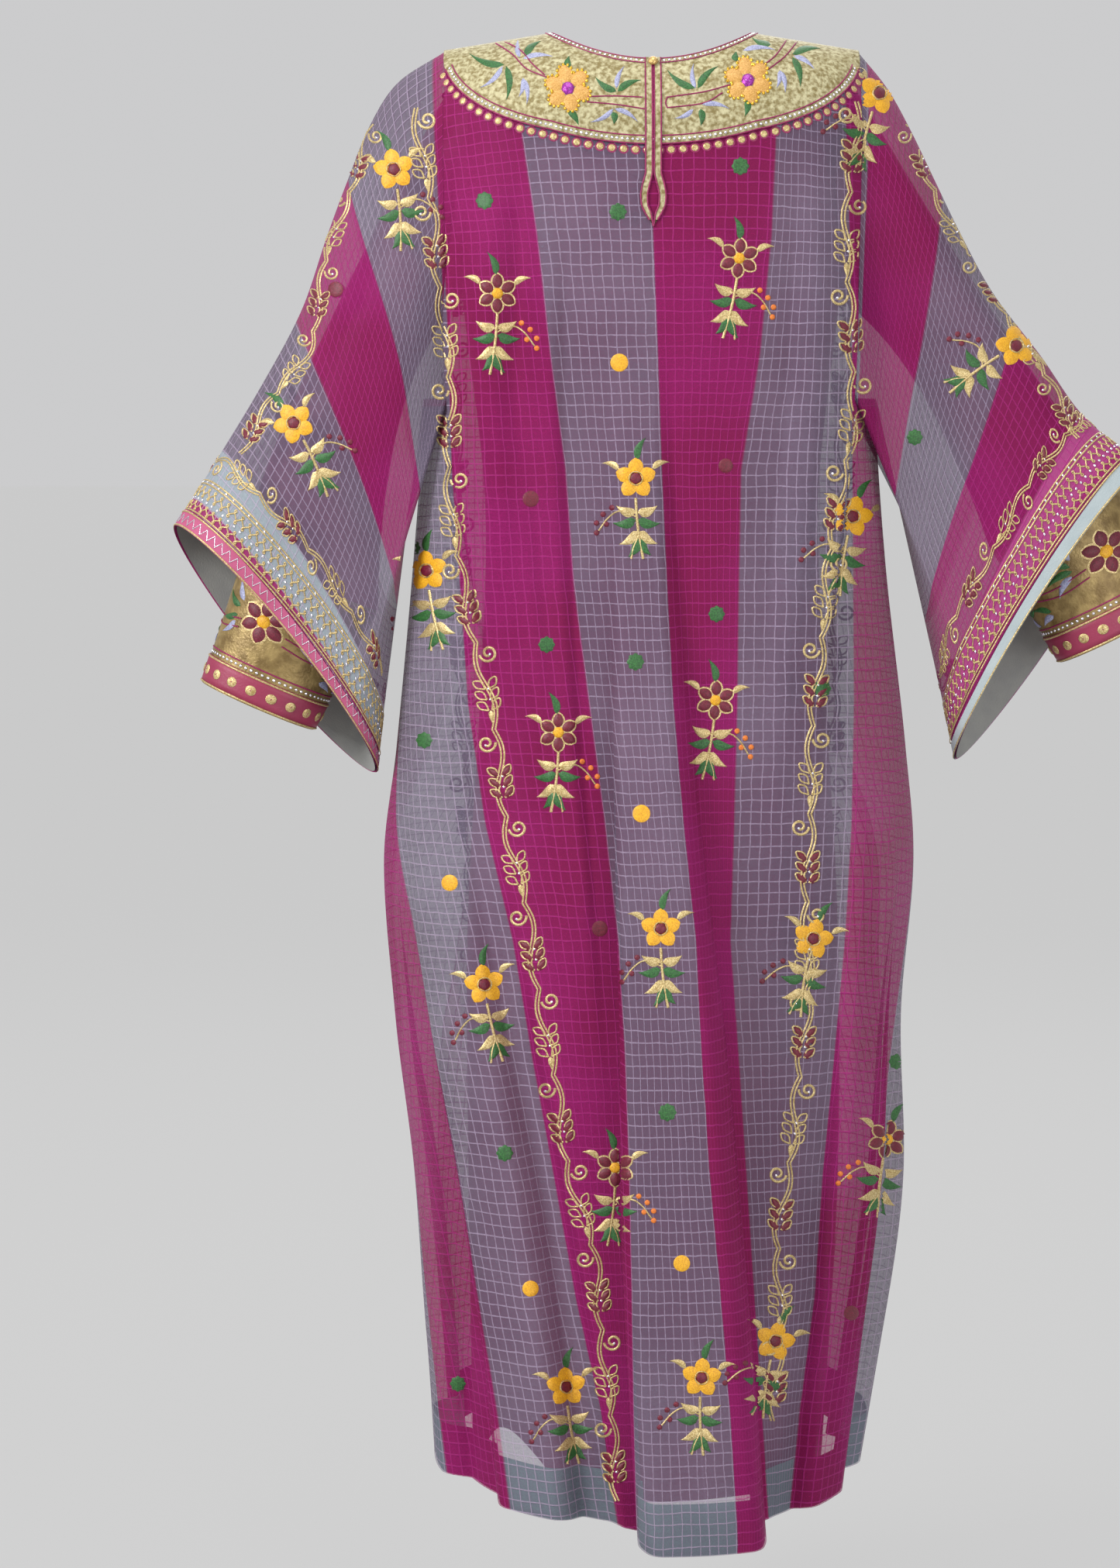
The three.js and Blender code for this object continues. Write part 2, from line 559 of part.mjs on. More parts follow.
// The hem's turn-up, inside each panel.
function turnup(panel) {
  const rows = [TURNUP_SHARE, mix(TURNUP_SHARE, 1, 0.98)];
  return clothWall(panel.surface, panel.columns, rows, FACING_WALL, { lift: -ROBE_WALL - LAY_GAP });
}
add("hem_turnup_back", turnup(backPanel), MATERIALS.turnup);
add("hem_turnup_right", turnup(goreRight), MATERIALS.turnup);
add("hem_turnup_front", turnup(frontPanel), MATERIALS.turnup);
add("hem_turnup_left", turnup(goreLeft), MATERIALS.turnup);

// Slit binding: a flat ribbon down one side of the slit, round the keyhole and up the other side.
const BINDING_STOPS = [
  { down: KEYHOLE_TOP, inner: BINDING_INSET, outer: BINDING_INSET + BINDING_WIDTH },
  { down: 140, inner: 3.6, outer: 9.4 },
  { down: 147, inner: 5.4, outer: 11.2 },
  { down: 154, inner: 5.4, outer: 11 },
  { down: 160, inner: 4.6, outer: 9.6 },
];
function slitBinding() {
  const down = (v) => -backPanel.surface(0.5, v).z;
  const nape = backPanel.rows.filter((v) => down(v) < KEYHOLE_TOP - 2);
  const straight = nape.map((v) => ({ down: down(v), inner: BINDING_INSET, outer: BINDING_INSET + BINDING_WIDTH }));
  const side = [...straight, ...BINDING_STOPS];
  const tip = [
    { down: [KEYHOLE_BOTTOM + 0.4, 171], inner: 2, outer: 6.6 },
    { down: [KEYHOLE_BOTTOM + 1, BINDING_TIP], inner: 0, outer: 0 },
  ];
  const left = [...side, ...tip].map((s) => ({ ...s, sign: -1 }));
  const right = [...side, tip[0]].map((s) => ({ ...s, sign: 1 })).reverse();
  const stations = [...left, ...right];
  const surface = (u, v) => {
    const place = clamp(u, 0, 1) * (stations.length - 1);
    const k = Math.min(Math.floor(place), stations.length - 2);
    const at = (s) => {
      const [innerDown, outerDown] = Array.isArray(s.down) ? s.down : [s.down, s.down];
      return [s.sign * mix(s.inner, s.outer, v), mix(innerDown, outerDown, v)];
    };
    const [x0, d0] = at(stations[k]);
    const [x1, d1] = at(stations[k + 1]);
    const [x, z] = [mix(x0, x1, place - k), mix(d0, d1, place - k)];
    const wanted = backPanel.placeOf(x);
    let [low, high] = [0, ARMHOLE_SHARE];
    for (let i = 0; i < 30; i++) {
      const middle = (low + high) / 2;
      if (down(middle) < z) low = middle;
      else high = middle;
    }
    return onFacets(backPanel, wanted, low);
  };
  const columns = steps(stations.length - 1);
  return clothWall(surface, columns, 1, FACING_WALL, { lift: LAY_GAP + FACING_WALL });
}

// A point on the flat facets of a panel, so that what is sewn on it follows them.
function onFacets(panel, u, v) {
  const cell = (list, value) => {
    const k = clamp(list.findIndex((x) => x > value) - 1, 0, list.length - 2);
    return [list[k], list[k + 1], clamp((value - list[k]) / (list[k + 1] - list[k]), 0, 1)];
  };
  const [u0, u1, s] = cell(panel.columns, u);
  const [v0, v1, t] = cell(panel.rows, v);
  const [a, c] = [panel.surface(u0, v0), panel.surface(u1, v1)];
  const corner = t > s ? panel.surface(u0, v1) : panel.surface(u1, v0);
  const point = a.clone();
  if (t > s) return point.addScaledVector(corner.clone().sub(a), t).addScaledVector(c.sub(corner), s);
  return point.addScaledVector(corner.clone().sub(a), s).addScaledVector(c.sub(corner), t);
}
add("slit_binding", slitBinding(), MATERIALS.gold);

// Neck button, over the top of the slit.
function neckButton() {
  const seat = backPanel.surface(0.5, 0.03);
  const below = backPanel.surface(0.5, 0.05);
  const fall = below.sub(seat).normalize();
  const outward = new THREE.Vector3(0, fall.z, -fall.y);
  const button = new THREE.SphereGeometry(BUTTON_RADIUS, 14, 10);
  button.scale(1, 1, 0.7);
  button.lookAt(outward);
  const rise = LAY_GAP * 2 + FACING_WALL + BUTTON_RADIUS * 0.7 + 0.4;
  const centre = seat.addScaledVector(outward, rise);
  return button.translate(centre.x, centre.y, centre.z);
}
add("neck_button", neckButton(), MATERIALS.gold);

// Wide sleeves. The share "round" runs from the ridge, down the near side to the bottom, and up the far.
function armholePoint(side, round) {
  const share = ((round % 1) + 1) % 1;
  const near = share < 0.5;
  const s = near ? share : 1 - share;
  const seam = near ? side : 3 * side;
  if (s < ARMHOLE_EDGE) {
    const down = Math.max(SHOULDER_START, ROBE_ARMHOLE * (s / ARMHOLE_EDGE) ** 1.35);
    const edge = robePoint(seam, down);
    return edge.add(new THREE.Vector3(side * SEAM_GAP, 0, 0));
  }
  const around = mix(seam, 2 * side, (s - ARMHOLE_EDGE) / (0.5 - ARMHOLE_EDGE));
  const along = robePoint(around + 0.02, ROBE_ARMHOLE).sub(robePoint(around - 0.02, ROBE_ARMHOLE));
  const outward = new THREE.Vector3(along.y, -along.x, 0).normalize();
  return robePoint(around, ROBE_ARMHOLE).addScaledVector(outward, ARMPIT_GAP);
}

function sleevePoint(arm, name, round, along) {
  const turn = 2 * Math.PI * round;
  const start = armholePoint(arm.side, round);
  const [ridge, low] = [arm.hemRidge, arm.hemLow];
  const reach = Math.hypot(ridge.out - low.out, ridge.up - low.up);
  const [ux, uz] = [(ridge.out - low.out) / reach, (ridge.up - low.up) / reach];
  const out = mix(low.out, ridge.out, 0.5) + ux * (reach / 2) * Math.cos(turn) - uz * SLEEVE_SKEW * Math.sin(turn);
  const up = mix(low.up, ridge.up, 0.5) + uz * (reach / 2) * Math.cos(turn) + ux * SLEEVE_SKEW * Math.sin(turn);
  const across = Math.sign(Math.sin(turn)) * Math.abs(Math.sin(turn)) ** 0.8;
  const hem = new THREE.Vector3(arm.side * out, -SLEEVE_HALF_DEPTH * across, up);
  const bow = read(RIDGE_BOW, "along", name, clamp(along, 0, 1)) * Math.max(0, Math.cos(turn)) ** 1.5;
  const ridgeRun = Math.hypot(ridge.out - SHOULDER_HALF, ridge.up + SHOULDER_FALL);
  const point = start.lerp(hem, along);
  point.x += (arm.side * bow * -(ridge.up + 16)) / ridgeRun;
  point.z += (bow * (ridge.out - SHOULDER_HALF)) / ridgeRun;
  const ripple = SLEEVE_RIPPLE_RISE * ease(0.2, 1, along) * Math.sin(turn * SLEEVE_RIPPLES);
  point.y -= ripple * Math.abs(Math.sin(turn));
  return point;
}

function sleevePiece(name, rows, thickness, lift) {
  const arm = ARMS[name];
  const surface = (round, along) => sleevePoint(arm, name, round, along);
  const squared = (normal, along) => {
    const onEdge = along === 0 && Math.abs(normal.y) + Math.max(0, normal.z) > SEAM_FACING;
    return onEdge ? normal.setX(0).normalize() : normal;
  };
  const options = { closedRound: true, flip: arm.side > 0, lift, squared };
  return clothWall(surface, GRID.sleeveRound, rows, thickness, options);
}
const sleeveRows = [...steps(GRID.sleeveRows).map((v) => v * (1 - SLEEVE_FACING)), 1 - SLEEVE_EDGE, 1];
const facingRows = [1 - SLEEVE_FACING, 1 - SLEEVE_EDGE, 0.997];
const edgeRows = [1 - SLEEVE_EDGE, 1];
for (const name of ["left", "right"]) {
  add(`sleeve_${name}`, sleevePiece(name, sleeveRows, ROBE_WALL, 0), MATERIALS.robe);
  add(`sleeve_facing_${name}`, sleevePiece(name, facingRows, FACING_WALL, -ROBE_WALL - LAY_GAP), MATERIALS.turnup);
  add(`sleeve_edge_${name}`, sleevePiece(name, edgeRows, EDGE_STRIP_WALL, LAY_GAP + EDGE_STRIP_WALL), MATERIALS.turnup);
}

// Under-dress, back and front. Each panel's edge curves out below the shoulder, round the armhole, to
// the side seam under the arm.
const ARMHOLE_CURVE = { from: 110, power: 2.2 };
function underSide(down) {
  return 1 + clamp((down - ARMHOLE_CURVE.from) / (UNDER_ARMHOLE - ARMHOLE_CURVE.from), 0, 1) ** ARMHOLE_CURVE.power;
}

const underHem = (around) => hemDown(around, UNDER_HEM_BACK, UNDER_HEM_FRONT);
const BODICE_SHARE = 0.5;
const UNDER_START = 0.0006;
function underPanel(centre, neckDepth) {
  const direction = centre ? -1 : 1;
  const from = centre - 1 + SEAM_GAP / 2 / UNDER_QUARTER;
  const to = centre + 1 - SEAM_GAP / 2 / UNDER_QUARTER;
  const placeOf = (x) => (aroundForX(underPoint, direction * x, [from, to]) - from) / (to - from);
  const surface = (u, v) => {
    const top = mix(from, to, u);
    const start = Math.max(UNDER_START, neckline(underPoint(top, 0).x, neckDepth));
    const bodice = clamp(v / BODICE_SHARE, 0, 1) ** ROW_POWER;
    const skirt = clamp((v - BODICE_SHARE) / (1 - BODICE_SHARE), 0, 1);
    const upper = mix(start, UNDER_ARMHOLE, bodice);
    const around = centre + (top - centre) * underSide(mix(0, UNDER_ARMHOLE, bodice));
    return underPoint(around, mix(upper, underHem(around), skirt));
  };
  const places = [-NECK_HALF, NECK_HALF].map(placeOf);
  const columns = panelColumns(places, [GRID.underShoulder, GRID.underNeck, GRID.underShoulder]);
  const bodiceRows = steps(GRID.bodiceRows).map((v) => v * BODICE_SHARE);
  const skirt = steps(GRID.skirtRows).map((v) => mix(BODICE_SHARE, 1, v));
  return clothWall(surface, columns, [...bodiceRows, ...skirt.slice(1)], UNDER_WALL);
}
add("under_dress_back", underPanel(0, NECK_BACK), MATERIALS.under);
add("under_dress_front", underPanel(4, NECK_FRONT), MATERIALS.under);

// Narrow sleeves and cuffs. Each tube runs through the armhole, the elbow and the top of the cuff.
function narrowArmhole(side, round) {
  const share = ((round % 1) + 1) % 1;
  const s = share < 0.5 ? share : 1 - share;
  const down = Math.max(SHOULDER_START, UNDER_ARMHOLE * (s / 0.5) ** 1.2);
  const reach = underSide(down);
  const around = share < 0.5 ? side * reach : 4 * side - side * reach;
  const along = underPoint(around + 0.02, down).sub(underPoint(around - 0.02, down));
  const outward = new THREE.Vector3(along.y, -along.x, 0).normalize();
  const low = ease(0.24, 0.42, s);
  const point = underPoint(around, down).addScaledVector(outward, 1.6 * low);
  return point.add(new THREE.Vector3(side * 0.4, 0, 0.3 * low));
}

function ringPoint(side, centre, across, half, round) {
  const turn = 2 * Math.PI * round;
  return new THREE.Vector3(
    side * (centre.out + across.out * half.wide * Math.cos(turn)),
    -half.deep * Math.sin(turn),
    centre.up + across.up * half.wide * Math.cos(turn),
  );
}

// A ring of the cuff, at a distance up the forearm from its end.
function cuffPoint(arm, round, above) {
  const share = above / CUFF_LENGTH;
  const half = { wide: mix(CUFF_END.wide, CUFF_TOP.wide, share), deep: mix(CUFF_END.deep, CUFF_TOP.deep, share) };
  const centre = { out: arm.wrist.out - arm.forearm.out * above, up: arm.wrist.up - arm.forearm.up * above };
  return ringPoint(arm.side, centre, { out: -arm.forearm.up, up: arm.forearm.out }, half, round);
}

function narrowSleevePoint(arm, round, along) {
  const start = narrowArmhole(arm.side, round);
  const end = cuffPoint(arm, round, CUFF_LENGTH + 2 * SEAM_GAP);
  const elbow = ringPoint(arm.side, arm.elbow, ELBOW_ACROSS, NARROW_HALF, round);
  return start
    .multiplyScalar((1 - along) * (1 - 2 * along))
    .addScaledVector(elbow, 4 * along * (1 - along))
    .addScaledVector(end, along * (2 * along - 1));
}

function cuffPiece(arm, from, to, thickness, lift) {
  const surface = (round, v) => cuffPoint(arm, round, mix(from, to, v));
  const options = { closedRound: true, flip: arm.side > 0, lift };
  return clothWall(surface, GRID.narrowRound, 1, thickness, options);
}

for (const [name, arm] of Object.entries(ARMS)) {
  const surface = (round, along) => narrowSleevePoint(arm, round, along);
  const wristward = new THREE.Vector3(arm.side * arm.forearm.out, 0, arm.forearm.up);
  const squared = (normal, along) => {
    if (along === 0 && Math.abs(normal.y) + Math.max(0, normal.z) > SEAM_FACING) normal.setX(0);
    if (along === 1) normal.addScaledVector(wristward, -normal.dot(wristward));
    return normal.normalize();
  };
  const options = { closedRound: true, flip: arm.side > 0, squared };
  const sleeve = clothWall(surface, GRID.narrowRound, GRID.narrowRows, UNDER_WALL, options);
  add(`under_sleeve_${name}`, sleeve, MATERIALS.under);
  add(`cuff_${name}`, cuffPiece(arm, CUFF_LENGTH, 0, CUFF_WALL, 0), MATERIALS.gold);
  add(`cuff_band_${name}`, cuffPiece(arm, CUFF_BAND, 1, FACING_WALL, LAY_GAP + FACING_WALL), MATERIALS.magenta);
}

export default group;
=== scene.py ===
import json
import math

import bpy
import numpy as np
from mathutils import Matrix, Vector
from mathutils.bvhtree import BVHTree

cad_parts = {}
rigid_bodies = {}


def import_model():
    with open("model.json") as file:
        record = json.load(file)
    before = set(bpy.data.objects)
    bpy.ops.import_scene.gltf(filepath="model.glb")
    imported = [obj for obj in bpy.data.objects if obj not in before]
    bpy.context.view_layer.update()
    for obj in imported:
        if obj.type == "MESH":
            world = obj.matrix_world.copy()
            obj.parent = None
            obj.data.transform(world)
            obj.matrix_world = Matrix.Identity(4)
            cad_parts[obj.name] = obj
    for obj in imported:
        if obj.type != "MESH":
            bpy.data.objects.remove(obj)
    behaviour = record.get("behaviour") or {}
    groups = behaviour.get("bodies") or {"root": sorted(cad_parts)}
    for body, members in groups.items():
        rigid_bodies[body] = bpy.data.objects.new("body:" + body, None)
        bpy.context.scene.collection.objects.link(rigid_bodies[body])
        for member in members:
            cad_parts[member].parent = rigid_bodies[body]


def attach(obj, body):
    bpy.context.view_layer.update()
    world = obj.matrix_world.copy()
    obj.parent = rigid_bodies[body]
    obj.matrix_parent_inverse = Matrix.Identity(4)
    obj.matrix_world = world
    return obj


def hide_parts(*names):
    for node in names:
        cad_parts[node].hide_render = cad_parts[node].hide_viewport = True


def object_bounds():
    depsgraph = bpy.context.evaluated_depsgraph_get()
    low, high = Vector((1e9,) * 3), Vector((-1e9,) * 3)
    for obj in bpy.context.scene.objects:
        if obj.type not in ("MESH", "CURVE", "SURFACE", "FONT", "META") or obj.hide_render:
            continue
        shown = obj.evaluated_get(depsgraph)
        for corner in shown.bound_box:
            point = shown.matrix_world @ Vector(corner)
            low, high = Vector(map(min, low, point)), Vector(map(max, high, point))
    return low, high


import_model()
cad_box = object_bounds()

# Camera, floor and light
# The garment is seen square on from behind, from about four metres away and just below the height of
# the shoulders, against a pale studio ground.
CAMERA_PLACE = Vector((-0.083, -4.0, -0.30))
CAMERA_TARGET = Vector((-0.083, 0.0, -0.685))
FOCAL_PIXELS = 5604
FRAME_PIXELS = 2023
FRAME_WIDTH = 1445
SENSOR_MM = 36
FLOOR_DROP = 0.16
FLOOR_SIZE = 80
FLOOR_TONE = (0.06, 0.06, 0.06, 1)
FLOOR_GLOW = (0.8, 0.8, 0.8, 1)
FLOOR_GLOW_STRENGTH = 0.67
WORLD_TONE = (0.86, 0.86, 0.87, 1)
WORLD_STRENGTH = 0.7
LAMP_TARGET = Vector((0, 0, -0.6))

camera_data = bpy.data.cameras.new("camera")
camera_data.sensor_width = SENSOR_MM
camera_data.lens = SENSOR_MM * FOCAL_PIXELS / FRAME_PIXELS
camera = bpy.data.objects.new("camera", camera_data)
camera.location = CAMERA_PLACE
camera.rotation_euler = (CAMERA_TARGET - CAMERA_PLACE).to_track_quat("-Z", "Y").to_euler()
bpy.context.collection.objects.link(camera)
bpy.context.scene.camera = camera
camera_turn = np.array(camera.rotation_euler.to_matrix())


def sight(points):
    """Where points are seen in the picture, in pixels of the photograph's size."""
    turned = (points / 1000 - np.array(CAMERA_PLACE)) @ camera_turn
    scale = FOCAL_PIXELS / -turned[..., 2]
    return FRAME_WIDTH / 2 + turned[..., 0] * scale, FRAME_PIXELS / 2 - turned[..., 1] * scale


class Socket:
    """One shader value, with arithmetic written as Python expressions."""

    def __init__(self, tree, link):
        self.tree = tree
        self.link = link

    def node(self, kind, settings=None, **values):
        made = self.tree.nodes.new(kind)
        for name, value in (settings or {}).items():
            setattr(made, name, value)
        for name, value in values.items():
            key = int(name[2:]) if name.startswith("in") else name.replace("_", " ")
            if isinstance(value, Socket):
                self.tree.links.new(value.link, made.inputs[key])
            else:
                made.inputs[key].default_value = value
        return made

    def math(self, operation, *values):
        named = {f"in{k}": value for k, value in enumerate(values)}
        made = self.node("ShaderNodeMath", {"operation": operation}, **named)
        return Socket(self.tree, made.outputs[0])

    def __add__(self, other):
        return self.math("ADD", self, other)

    def __sub__(self, other):
        return self.math("SUBTRACT", self, other)

    def __rsub__(self, other):
        return self.math("SUBTRACT", other, self)

    def __mul__(self, other):
        return self.math("MULTIPLY", self, other)

    def __truediv__(self, other):
        return self.math("DIVIDE", self, other)

    def wave(self, pitch):
        """Distance from the nearest line of a set, as a share of half their pitch."""
        return self.math("PINGPONG", self, pitch / 2) / (pitch / 2)

    def step(self, low, high):
        """A smooth step from 0 at low to 1 at high."""
        made = self.node(
            "ShaderNodeMapRange",
            {"interpolation_type": "SMOOTHSTEP"},
            Value=self,
            From_Min=low,
            From_Max=high,
        )
        return Socket(self.tree, made.outputs[0])

    def blend(self, low, high):
        """A colour between two colours, by this value."""
        made = self.node("ShaderNodeMix", {"data_type": "RGBA"}, in0=self)
        for key, colour in ((6, low), (7, high)):
            if isinstance(colour, Socket):
                self.tree.links.new(colour.link, made.inputs[key])
            else:
                made.inputs[key].default_value = (*colour, 1)
        return Socket(self.tree, made.outputs[2])


class Finish:
    """A material, with its shader and the places that its pattern reads."""

    def __init__(self, name, roughness=0.8, metallic=0.0):
        self.material = bpy.data.materials.new(name)
        self.material.use_nodes = True
        self.tree = self.material.node_tree
        self.shader = self.tree.nodes["Principled BSDF"]
        self.shader.inputs["Roughness"].default_value = roughness
        self.shader.inputs["Metallic"].default_value = metallic

    def place(self):
        """The coordinates of a point on the cloth, in metres across and down."""
        source = self.tree.nodes.new("ShaderNodeTexCoord")
        split = self.tree.nodes.new("ShaderNodeSeparateXYZ")
        self.tree.links.new(source.outputs["UV"], split.inputs[0])
        return [Socket(self.tree, output) for output in split.outputs[:2]]

    def noise(self, scale, detail=2.0, kind="Object"):
        source = self.tree.nodes.new("ShaderNodeTexCoord")
        made = self.tree.nodes.new("ShaderNodeTexNoise")
        made.inputs["Scale"].default_value = scale
        made.inputs["Detail"].default_value = detail
        self.tree.links.new(source.outputs[kind], made.inputs["Vector"])
        return Socket(self.tree, made.outputs[0])

    def set(self, name, value):
        self.tree.links.new(value.link, self.shader.inputs[name])

    def bump(self, height, distance, strength=0.6):
        made = self.tree.nodes.new("ShaderNodeBump")
        made.inputs["Strength"].default_value = strength
        made.inputs["Distance"].default_value = distance
        self.tree.links.new(height.link, made.inputs["Height"])
        self.tree.links.new(made.outputs[0], self.shader.inputs["Normal"])


bpy.ops.mesh.primitive_plane_add(size=FLOOR_SIZE, location=(0, 0, cad_box[0][2] - FLOOR_DROP))
floor = bpy.context.object
floor.name = "floor"
floor_finish = Finish("pale_floor", roughness=0.95)
floor_finish.shader.inputs["Base Color"].default_value = FLOOR_TONE
floor_finish.shader.inputs["Emission Color"].default_value = FLOOR_GLOW
floor_finish.shader.inputs["Emission Strength"].default_value = FLOOR_GLOW_STRENGTH
floor_finish.shader.inputs["Specular IOR Level"].default_value = 0.1
floor.data.materials.append(floor_finish.material)

world = bpy.data.worlds.new("studio")
world.use_nodes = True
world.node_tree.nodes["Background"].inputs[0].default_value = WORLD_TONE
world.node_tree.nodes["Background"].inputs[1].default_value = WORLD_STRENGTH
bpy.context.scene.world = world
bpy.context.scene.view_settings.view_transform = "Standard"

# Each lamp: its place, its size in metres and its power in watts
LAMPS = (
    ("key", (-3.4, -2.6, 1.5), 1.8, 200),
    ("fill", (2.2, -4.0, -0.4), 2.6, 80),
    ("back", (0.4, 3.4, 1.6), 2.6, 70),
    ("top", (0.0, -0.6, 2.6), 2.2, 45),
)
for lamp_name, lamp_place, lamp_size, lamp_power in LAMPS:
    lamp_data = bpy.data.lights.new(lamp_name, "AREA")
    lamp_data.size = lamp_size
    lamp_data.energy = lamp_power
    lamp = bpy.data.objects.new(lamp_name, lamp_data)
    lamp.location = lamp_place
    aim = LAMP_TARGET - Vector(lamp_place)
    lamp.rotation_euler = aim.to_track_quat("-Z", "Y").to_euler()
    bpy.context.collection.objects.link(lamp)

# Over-robe, body
# A long wide robe of sheer cloth woven in broad pink and grey stripes. It is cut as a back, a front
# and two side gores, and hangs in deep soft folds from a flat yoke. Sizes are in millimetres.
MM = 0.001
NECK_HALF = 92
NECK_BACK = 27
NECK_FRONT = 78
SHOULDER_ROUND = 85
SHOULDER_FALL = 16
SHOULDER_HALF = 190
UNDERARM = 330
HEM_BACK = 1352
HEM_FRONT = 1290
FRONT_FULLNESS = 1.12
STRIPE = 110
SLEEVE_STRIPE = 138
SLEEVE_LAST = 388
CHECK_ACROSS = 0.0098
CHECK_DOWN = 0.0104
PINK_TONES = ((0.2, 0.0015, 0.062), (0.255, 0.004, 0.108))
GREY_TONES = ((0.125, 0.098, 0.15), (0.165, 0.14, 0.2))
CHECK_TONES = ((0.32, 0.02, 0.165), (0.37, 0.29, 0.4))
RIM_TONE = (0.3, 0.012, 0.13)
PINK_COVER = 0.71
GREY_COVER_LOSS = -0.12
BORDER_FROM = 0.835
RIM_FROM = 0.938

# The rings that the body passes through: half widths left and right, depths behind and in front,
# sideways places of the seams, and how square the ring is.
RING_COLUMNS = ("down", "left", "right", "back", "front", "seam_l", "seam_r", "front_seam", "square")
ROBE_RINGS = (
    (0, 200, 200, 98, 98, 188, 188, 188, 3),
    (100, 202, 202, 104, 110, 188, 188, 188, 3),
    (200, 204, 203, 112, 122, 186, 186, 186, 3),
    (330, 207, 205, 113, 124, 183, 182, 183, 2.8),
    (480, 218, 216, 115, 122, 166, 168, 180, 2.5),
    (650, 234, 236, 124, 132, 140, 156, 176, 2.3),
    (760, 246, 244, 133, 146, 120, 148, 172, 2.2),
    (900, 230, 228, 142, 156, 98, 144, 160, 2.1),
    (1050, 202, 222, 150, 166, 74, 132, 146, 2),
    (1200, 186, 198, 158, 176, 50, 121, 134, 2),
    (1360, 176, 172, 164, 186, 28, 112, 124, 2),
)

# Each fold: its place round the body at the top and the hem, its half widths there, how far it rises,
# flares and leans, and the depths where it starts, is full, eases and ends.
ROBE_FOLDS = (
    (-0.06, -0.02, 28, 48, 68, 22, -12, 190, 1180, 1500, 1600),
    (-0.78, -0.8, 36, 30, 17, 6, -12, 70, 260, 380, 700),
    (0.8, 0.82, 34, 30, 13, 4, 9, 80, 260, 420, 720),
    (-0.52, -0.74, 26, 14, 7, 2, 0, 120, 300, 620, 1000),
    (-1.5, -1.42, 40, 42, 20, 9, 3, 560, 1100, 1500, 1600),
    (-1.18, -1.12, 26, 30, -12, 0, 0, 640, 1000, 1500, 1600),
    (1.42, 1.4, 36, 36, 18, 8, -3, 560, 1050, 1500, 1600),
    (-2.05, -2.12, 40, 42, 22, 9, 0, 740, 1200, 1500, 1600),
    (2.05, 2.1, 40, 42, 20, 8, 0, 740, 1200, 1500, 1600),
    (2.62, 2.66, 34, 38, 20, 9, 0, 560, 1100, 1500, 1600),
    (5.36, 5.32, 34, 38, 20, 9, 0, 560, 1100, 1500, 1600),
    (3.5, 3.38, 30, 38, 34, 14, 0, 360, 1180, 1500, 1600),
    (4.02, 4.0, 34, 44, 46, 20, -3, 300, 1180, 1500, 1600),
    (4.5, 4.62, 30, 38, 34, 14, 0, 360, 1180, 1500, 1600),
)
RING_STEPS = 240
DEPTH_STEP = 5.0
AROUND_STEPS = 1280
LAST_DEPTH = 1400


def mix(a, b, share):
    return a + (b - a) * share


def ease(low, high, value):
    share = np.clip((value - low) / (high - low), 0, 1)
    return share * share * (3 - 2 * share)


def on_curve(rows, column, at):
    """A column of a table at any depth, on a smooth curve through its rows."""
    keys = [row[0] for row in rows]
    k = min(max(sum(key <= at for key in keys) - 1, 0), len(rows) - 2)

    def slope(i):
        before, after = rows[max(i - 1, 0)], rows[min(i + 1, len(rows) - 1)]
        return (after[column] - before[column]) / (after[0] - before[0])

    a, b = rows[k], rows[k + 1]
    span = b[0] - a[0]
    t = min(max((at - a[0]) / span, 0), 1)
    start = (2 * t**3 - 3 * t**2 + 1) * a[column] + (t**3 - 2 * t**2 + t) * span * slope(k)
    return start + (3 * t**2 - 2 * t**3) * b[column] + (t**3 - t**2) * span * slope(k + 1)


